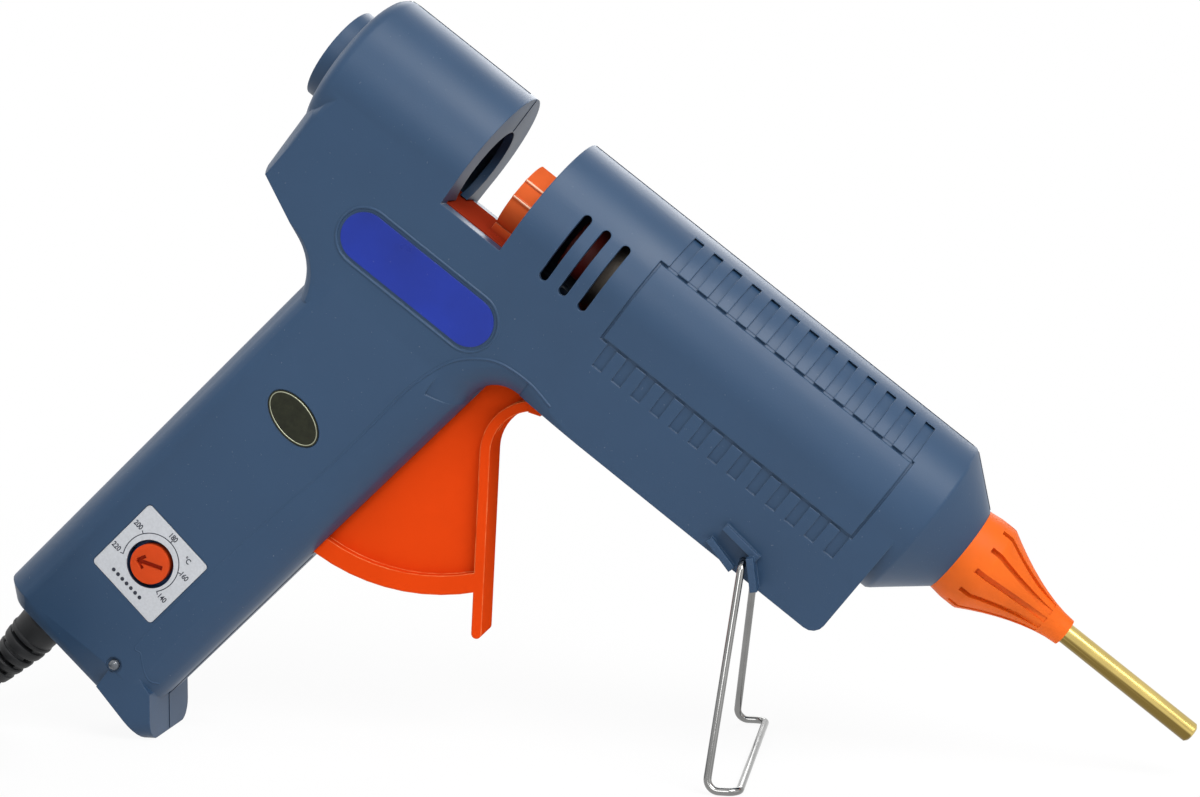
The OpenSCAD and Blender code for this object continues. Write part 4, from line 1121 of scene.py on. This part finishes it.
class APPLICATOR_OT_dial(bpy.types.Operator):
    """Dial plate with its print, knob with its arrow, and lamp lens"""

    bl_idname = "applicator.dial"
    bl_label = "Dial"

    def execute(self, context):
        dress("dial_plate", plate_card())
        dress("dial_knob", knob_plastic())
        self.print_scale()
        self.arrow()
        self.lens()
        return {"FINISHED"}

    def around(self, degrees, radius):
        turn = radians(degrees)
        return SCALE_MIDDLE + radius * Vector((cos(turn), sin(turn), 0))

    def print_scale(self):
        """Ring, marks, numbers and a row of dots on the plate."""
        first, last = SCALE_ENDS
        turns = [first + (last - first) * i / RULE_STEPS for i in range(RULE_STEPS + 1)]
        lines = [[self.around(turn, SCALE_RADIUS) for turn in turns]]
        lines += [[self.around(mark, end) for end in MARK_ENDS] for mark in SCALE_MARKS]
        scale = tubes(lines, RULE_RADIUS, sides=2)
        scale.transform(Matrix.Diagonal((1, 1, RULE_FLAT, 1)))
        meshes = [scale]
        for words, x, y in NUMBERS:
            text = bpy.data.curves.new("number", "FONT")
            text.body = words
            text.size = size("numbers") / MM / DIGIT_SHARE
            text.align_x = "CENTER"
            text.align_y = "CENTER"
            text.extrude = 0.04
            text.offset = 0.05
            mesh = mesh_from_curve(text)
            mesh.transform(Matrix.Translation((x, y, 0)) @ Matrix.Diagonal((DIGIT_WIDTH, 1, 1, 1)))
            meshes.append(mesh)
        bm = bmesh.new()
        for x, y in DOTS:
            bmesh.ops.create_cone(
                bm, cap_ends=True, segments=20, radius1=0.62, radius2=0.58, depth=0.08,
                matrix=Matrix.Translation((x, y, 0)),
            )
        meshes.append(mesh_of(bm))
        ink = joined(meshes)
        ink.transform(side_frame(*DIAL, DIAL_TURN) @ Matrix.Translation((0, 0, PLATE_PROUD)))
        new_piece("dial_print", ink, print_ink(), split=40)

    def arrow(self):
        """Dark arrow in the floor of the knob's groove: painted shade of the recess."""
        bm = bmesh.new()
        for start, long, wide, turn in ARROW_BARS:
            bar = bmesh.ops.create_cube(bm, size=1)["verts"]
            aim = Matrix.Rotation(radians(turn), 3, "Z")
            bmesh.ops.scale(bm, vec=(long, wide, ARROW_THICK), verts=bar)
            bmesh.ops.translate(bm, vec=(long / 2 + ARROW_GAP, 0, 0), verts=bar)
            bmesh.ops.rotate(bm, verts=bar, cent=(0, 0, 0), matrix=aim)
            bmesh.ops.translate(bm, vec=(start, 0, -ARROW_DEPTH), verts=bar)
        bmesh.ops.transform(bm, matrix=side_frame(*DIAL, ARROW_TURN), verts=bm.verts)
        new_piece("knob_arrow", mesh_of(bm), arrow_shade(), body="knob", split=35)

    def lens(self):
        """Domed lens of the lamp on its short stem."""
        bm = bmesh.new()
        bmesh.ops.create_uvsphere(bm, u_segments=32, v_segments=24, radius=LENS_RADIUS)
        lower = bmesh.ops.bisect_plane(
            bm, geom=[*bm.verts, *bm.edges, *bm.faces], plane_co=(0, 0, 0), plane_no=(0, 0, -1),
            clear_outer=True,
        )
        rim = [item for item in lower["geom_cut"] if isinstance(item, bmesh.types.BMEdge)]
        bmesh.ops.scale(bm, vec=(1, 1, LENS_FLAT), verts=bm.verts)
        stem = bmesh.ops.extrude_edge_only(bm, edges=rim)["geom"]
        bottom = [item for item in stem if isinstance(item, bmesh.types.BMVert)]
        bmesh.ops.translate(bm, vec=(0, 0, -LENS_STEM), verts=bottom)
        bmesh.ops.holes_fill(bm, edges=[edge for edge in bm.edges if edge.is_boundary])
        bmesh.ops.transform(bm, matrix=side_frame(*LENS), verts=bm.verts)
        new_piece(
            "lamp_dome", mesh_of(bm), lamp_clear(), replaces=["lamp_lens"], split=50
        )


# Rating plate: its middle on the side, the length and width of the bead around its recess, the share of its
# radius that the bead is sunk, and steps around each end
RATING = (-165, -33.4)
RATING_BEAD = (54.7, 17.2)
BEAD_SUNK = 0.5
BEAD_STEPS = 32

# Badge: its middle on the side of the grip, its turn, and its rim's half axes, radius, flatness and steps
BADGE = (-169.7, -87.8)
BADGE_TURN = 13
BADGE_RIM = (8.95, 4.95)
RIM_RADIUS = 0.15
RIM_FLAT = 0.5
RIM_STEPS = 72


class APPLICATOR_OT_plates(bpy.types.Operator):
    """Bare rating plate, and bare oval badge with its bright rim"""

    bl_idname = "applicator.plates"
    bl_label = "Plates"

    def execute(self, context):
        dress("rating_plate", label_foil())
        self.bead()
        dress("oval_badge", badge_enamel())
        long, short = BADGE_RIM
        turns = [tau * i / RIM_STEPS for i in range(RIM_STEPS)]
        path = [(long * cos(turn), short * sin(turn), 0) for turn in turns]
        rim = tubes([path], RIM_RADIUS, sides=3, closed=True)
        rim.transform(Matrix.Diagonal((1, 1, RIM_FLAT, 1)))
        rim.transform(side_frame(*BADGE, BADGE_TURN) @ Matrix.Translation((0, 0, PLATE_PROUD)))
        new_piece("badge_rim", rim, badge_silver())
        return {"FINISHED"}

    def bead(self):
        """Low bead around the recess of the rating plate."""
        long, wide = RATING_BEAD
        radius = wide / 2
        spots = []
        for side in (1, -1):
            for i in range(BEAD_STEPS + 1):
                turn = pi * (i / BEAD_STEPS - 0.5)
                x = long / 2 - radius + radius * cos(turn)
                spots.append(side * Vector((x, radius * sin(turn))))
        middle = Vector(RATING)
        starts = [gun(middle.x + spot.x, -OUTSIDE, middle.y + spot.y) for spot in spots]
        path = surface_runs("housing_right", starts, ACROSS, long * MM)
        for point in path[0]:
            point += ACROSS * size("crease") * BEAD_SUNK
        bead = tubes(path, size("crease"), closed=True)
        new_piece("plate_bead", bead, moulded_slate())


class APPLICATOR_OT_works(bpy.types.Operator):
    """Heater, bushes, board, clamp and screws inside the housing"""

    bl_idname = "applicator.works"
    bl_label = "Inner works"

    def execute(self, context):
        dress("melt_chamber", heated_alloy())
        dress("heating_element", heater_ceramic())
        dress("rear_bush", fibre_board())
        dress("front_bush", fibre_board())
        dress("circuit_board", green_board())
        dress("potentiometer", blue_case())
        dress("cord_clamp", clamp_plastic())
        dress("housing_screws", dull_steel())
        return {"FINISHED"}


class APPLICATOR_OT_stage(bpy.types.Operator):
    """Camera at the photograph's angle, pale floor and soft light"""

    bl_idname = "applicator.stage"
    bl_label = "Stage"

    def execute(self, context):
        scene = context.scene
        scene.view_settings.view_transform = "Standard"
        self.camera(scene)
        self.floor(scene.applicator_stage)
        self.lights(scene, scene.applicator_stage)
        return {"FINISHED"}

    def camera(self, scene):
        """Camera turned so that the barrel and the side's depth run as in the photograph."""
        wide, tall = PHOTO_SIZE
        x, y = SIDE_VANISHING_PX
        across = Vector((x - wide / 2, y - tall / 2, FOCAL_PX)).normalized()
        level, fall = cos(BARREL_IN_PHOTO), sin(BARREL_IN_PHOTO)
        along = Vector((level, fall, -(level * across.x + fall * across.y) / across.z)).normalized()
        up = along.cross(across)
        seen = Matrix((along, across, up)).transposed()
        to_scene = TURN @ seen.inverted()
        flip = Matrix.Diagonal((1, -1, -1))
        camera = bpy.data.cameras.new("camera")
        camera.sensor_width = SENSOR
        camera.lens = SENSOR * FOCAL_PX / wide
        holder = put_in_scene("camera", camera)
        holder.matrix_world = Matrix.Translation(gun(*EYE)) @ (to_scene @ flip).to_4x4()
        scene.camera = holder

    def floor(self, stage):
        """Pale card that keeps a faint shadow near the object and goes to white further out."""
        bm = bmesh.new()
        bmesh.ops.create_grid(bm, x_segments=1, y_segments=1, size=8)
        mesh = mesh_of(bm)
        put_in_scene("floor", mesh)
        material = bpy.data.materials.new("floor_card")
        material.use_nodes = True
        tree = material.node_tree
        card = shader_of(tree)
        card.inputs["Base Color"].default_value = (*stage.floor, 1)
        card.inputs["Roughness"].default_value = 0.9
        card.inputs["Specular IOR Level"].default_value = 0.1
        white = tree.nodes.new("ShaderNodeEmission")
        distance = calculate_vector(tree, "LENGTH", object_place(tree)).outputs["Value"]
        share = map_range(tree, distance, *FLOOR_FADE, FLOOR_WHITE, 1.0)
        seen = calculate(tree, "MULTIPLY", self.seen(tree), share)
        self.mix(tree, seen, card.outputs["BSDF"], white.outputs["Emission"], "OUTPUT_MATERIAL")
        mesh.materials.append(material)

    def seen(self, tree):
        """One on rays that come from the camera, straight, by reflection or through glass."""
        path = tree.nodes.new("ShaderNodeLightPath").outputs
        direct = calculate(tree, "MAXIMUM", path["Is Camera Ray"], path["Is Glossy Ray"])
        return calculate(tree, "MAXIMUM", direct, path["Is Transmission Ray"])

    def mix(self, tree, share, first, second, output):
        """Sends a mix of two shaders to the tree's output."""
        node = add_node(tree, "ShaderNodeMixShader", share, first, second)
        tree.links.new(node.outputs["Shader"], shader_of(tree, output).inputs["Surface"])

    def lights(self, scene, stage):
        """White sky that lights less than it shows, and the lamps."""
        world = bpy.data.worlds.new("sky")
        scene.world = world
        world.use_nodes = True
        tree = world.node_tree
        sky = shader_of(tree, "BACKGROUND")
        sky.inputs["Color"].default_value = (1, 1, 1, 1)
        sky.inputs["Strength"].default_value = stage.sky
        white = tree.nodes.new("ShaderNodeBackground")
        white.inputs["Color"].default_value = (1, 1, 1, 1)
        lit, shown = sky.outputs["Background"], white.outputs["Background"]
        self.mix(tree, self.seen(tree), lit, shown, "OUTPUT_WORLD")
        for name, (place, width) in LAMPS.items():
            self.lamp(name, getattr(stage, name), Vector(place), width)

    def lamp(self, name, power, place, width):
        light = bpy.data.lights.new(name, "AREA")
        light.energy = power
        light.size = width
        turn = (LAMP_AIM - place).to_track_quat("-Z", "Y").to_matrix().to_4x4()
        put_in_scene(name, light).matrix_world = Matrix.Translation(place) @ turn


class APPLICATOR_PT_panel(bpy.types.Panel):
    """Lists the steps that dress the applicator"""

    bl_idname = "APPLICATOR_PT_panel"
    bl_label = "Hot glue applicator"
    bl_space_type = "VIEW_3D"
    bl_region_type = "UI"
    bl_category = "Applicator"

    def draw(self, context):
        for step in STEPS:
            self.layout.operator(f"applicator.{step}")
        for group in ("applicator_colours", "applicator_sizes", "applicator_stage"):
            settings = getattr(context.scene, group)
            for name in settings.bl_rna.properties.keys():
                if name not in ("rna_type", "name"):
                    self.layout.prop(settings, name)


STEPS = ("stage", "cord", "housing", "trigger", "feed", "nozzle", "stand", "dial", "plates", "works")
CLASSES = (
    ApplicatorColours, ApplicatorSizes, ApplicatorStage,
    APPLICATOR_OT_stage, APPLICATOR_OT_cord, APPLICATOR_OT_housing, APPLICATOR_OT_trigger,
    APPLICATOR_OT_feed, APPLICATOR_OT_nozzle, APPLICATOR_OT_stand, APPLICATOR_OT_dial,
    APPLICATOR_OT_plates, APPLICATOR_OT_works,
    APPLICATOR_PT_panel,
)


def register():
    for item in CLASSES:
        bpy.utils.register_class(item)
    bpy.types.Scene.applicator_colours = PointerProperty(type=ApplicatorColours)
    bpy.types.Scene.applicator_sizes = PointerProperty(type=ApplicatorSizes)
    bpy.types.Scene.applicator_stage = PointerProperty(type=ApplicatorStage)


def unregister():
    del bpy.types.Scene.applicator_stage
    del bpy.types.Scene.applicator_sizes
    del bpy.types.Scene.applicator_colours
    for item in reversed(CLASSES):
        bpy.utils.unregister_class(item)


def main():
    register()
    for step in STEPS:
        getattr(bpy.ops.applicator, step)()


if __name__ == "__main__":
    main()
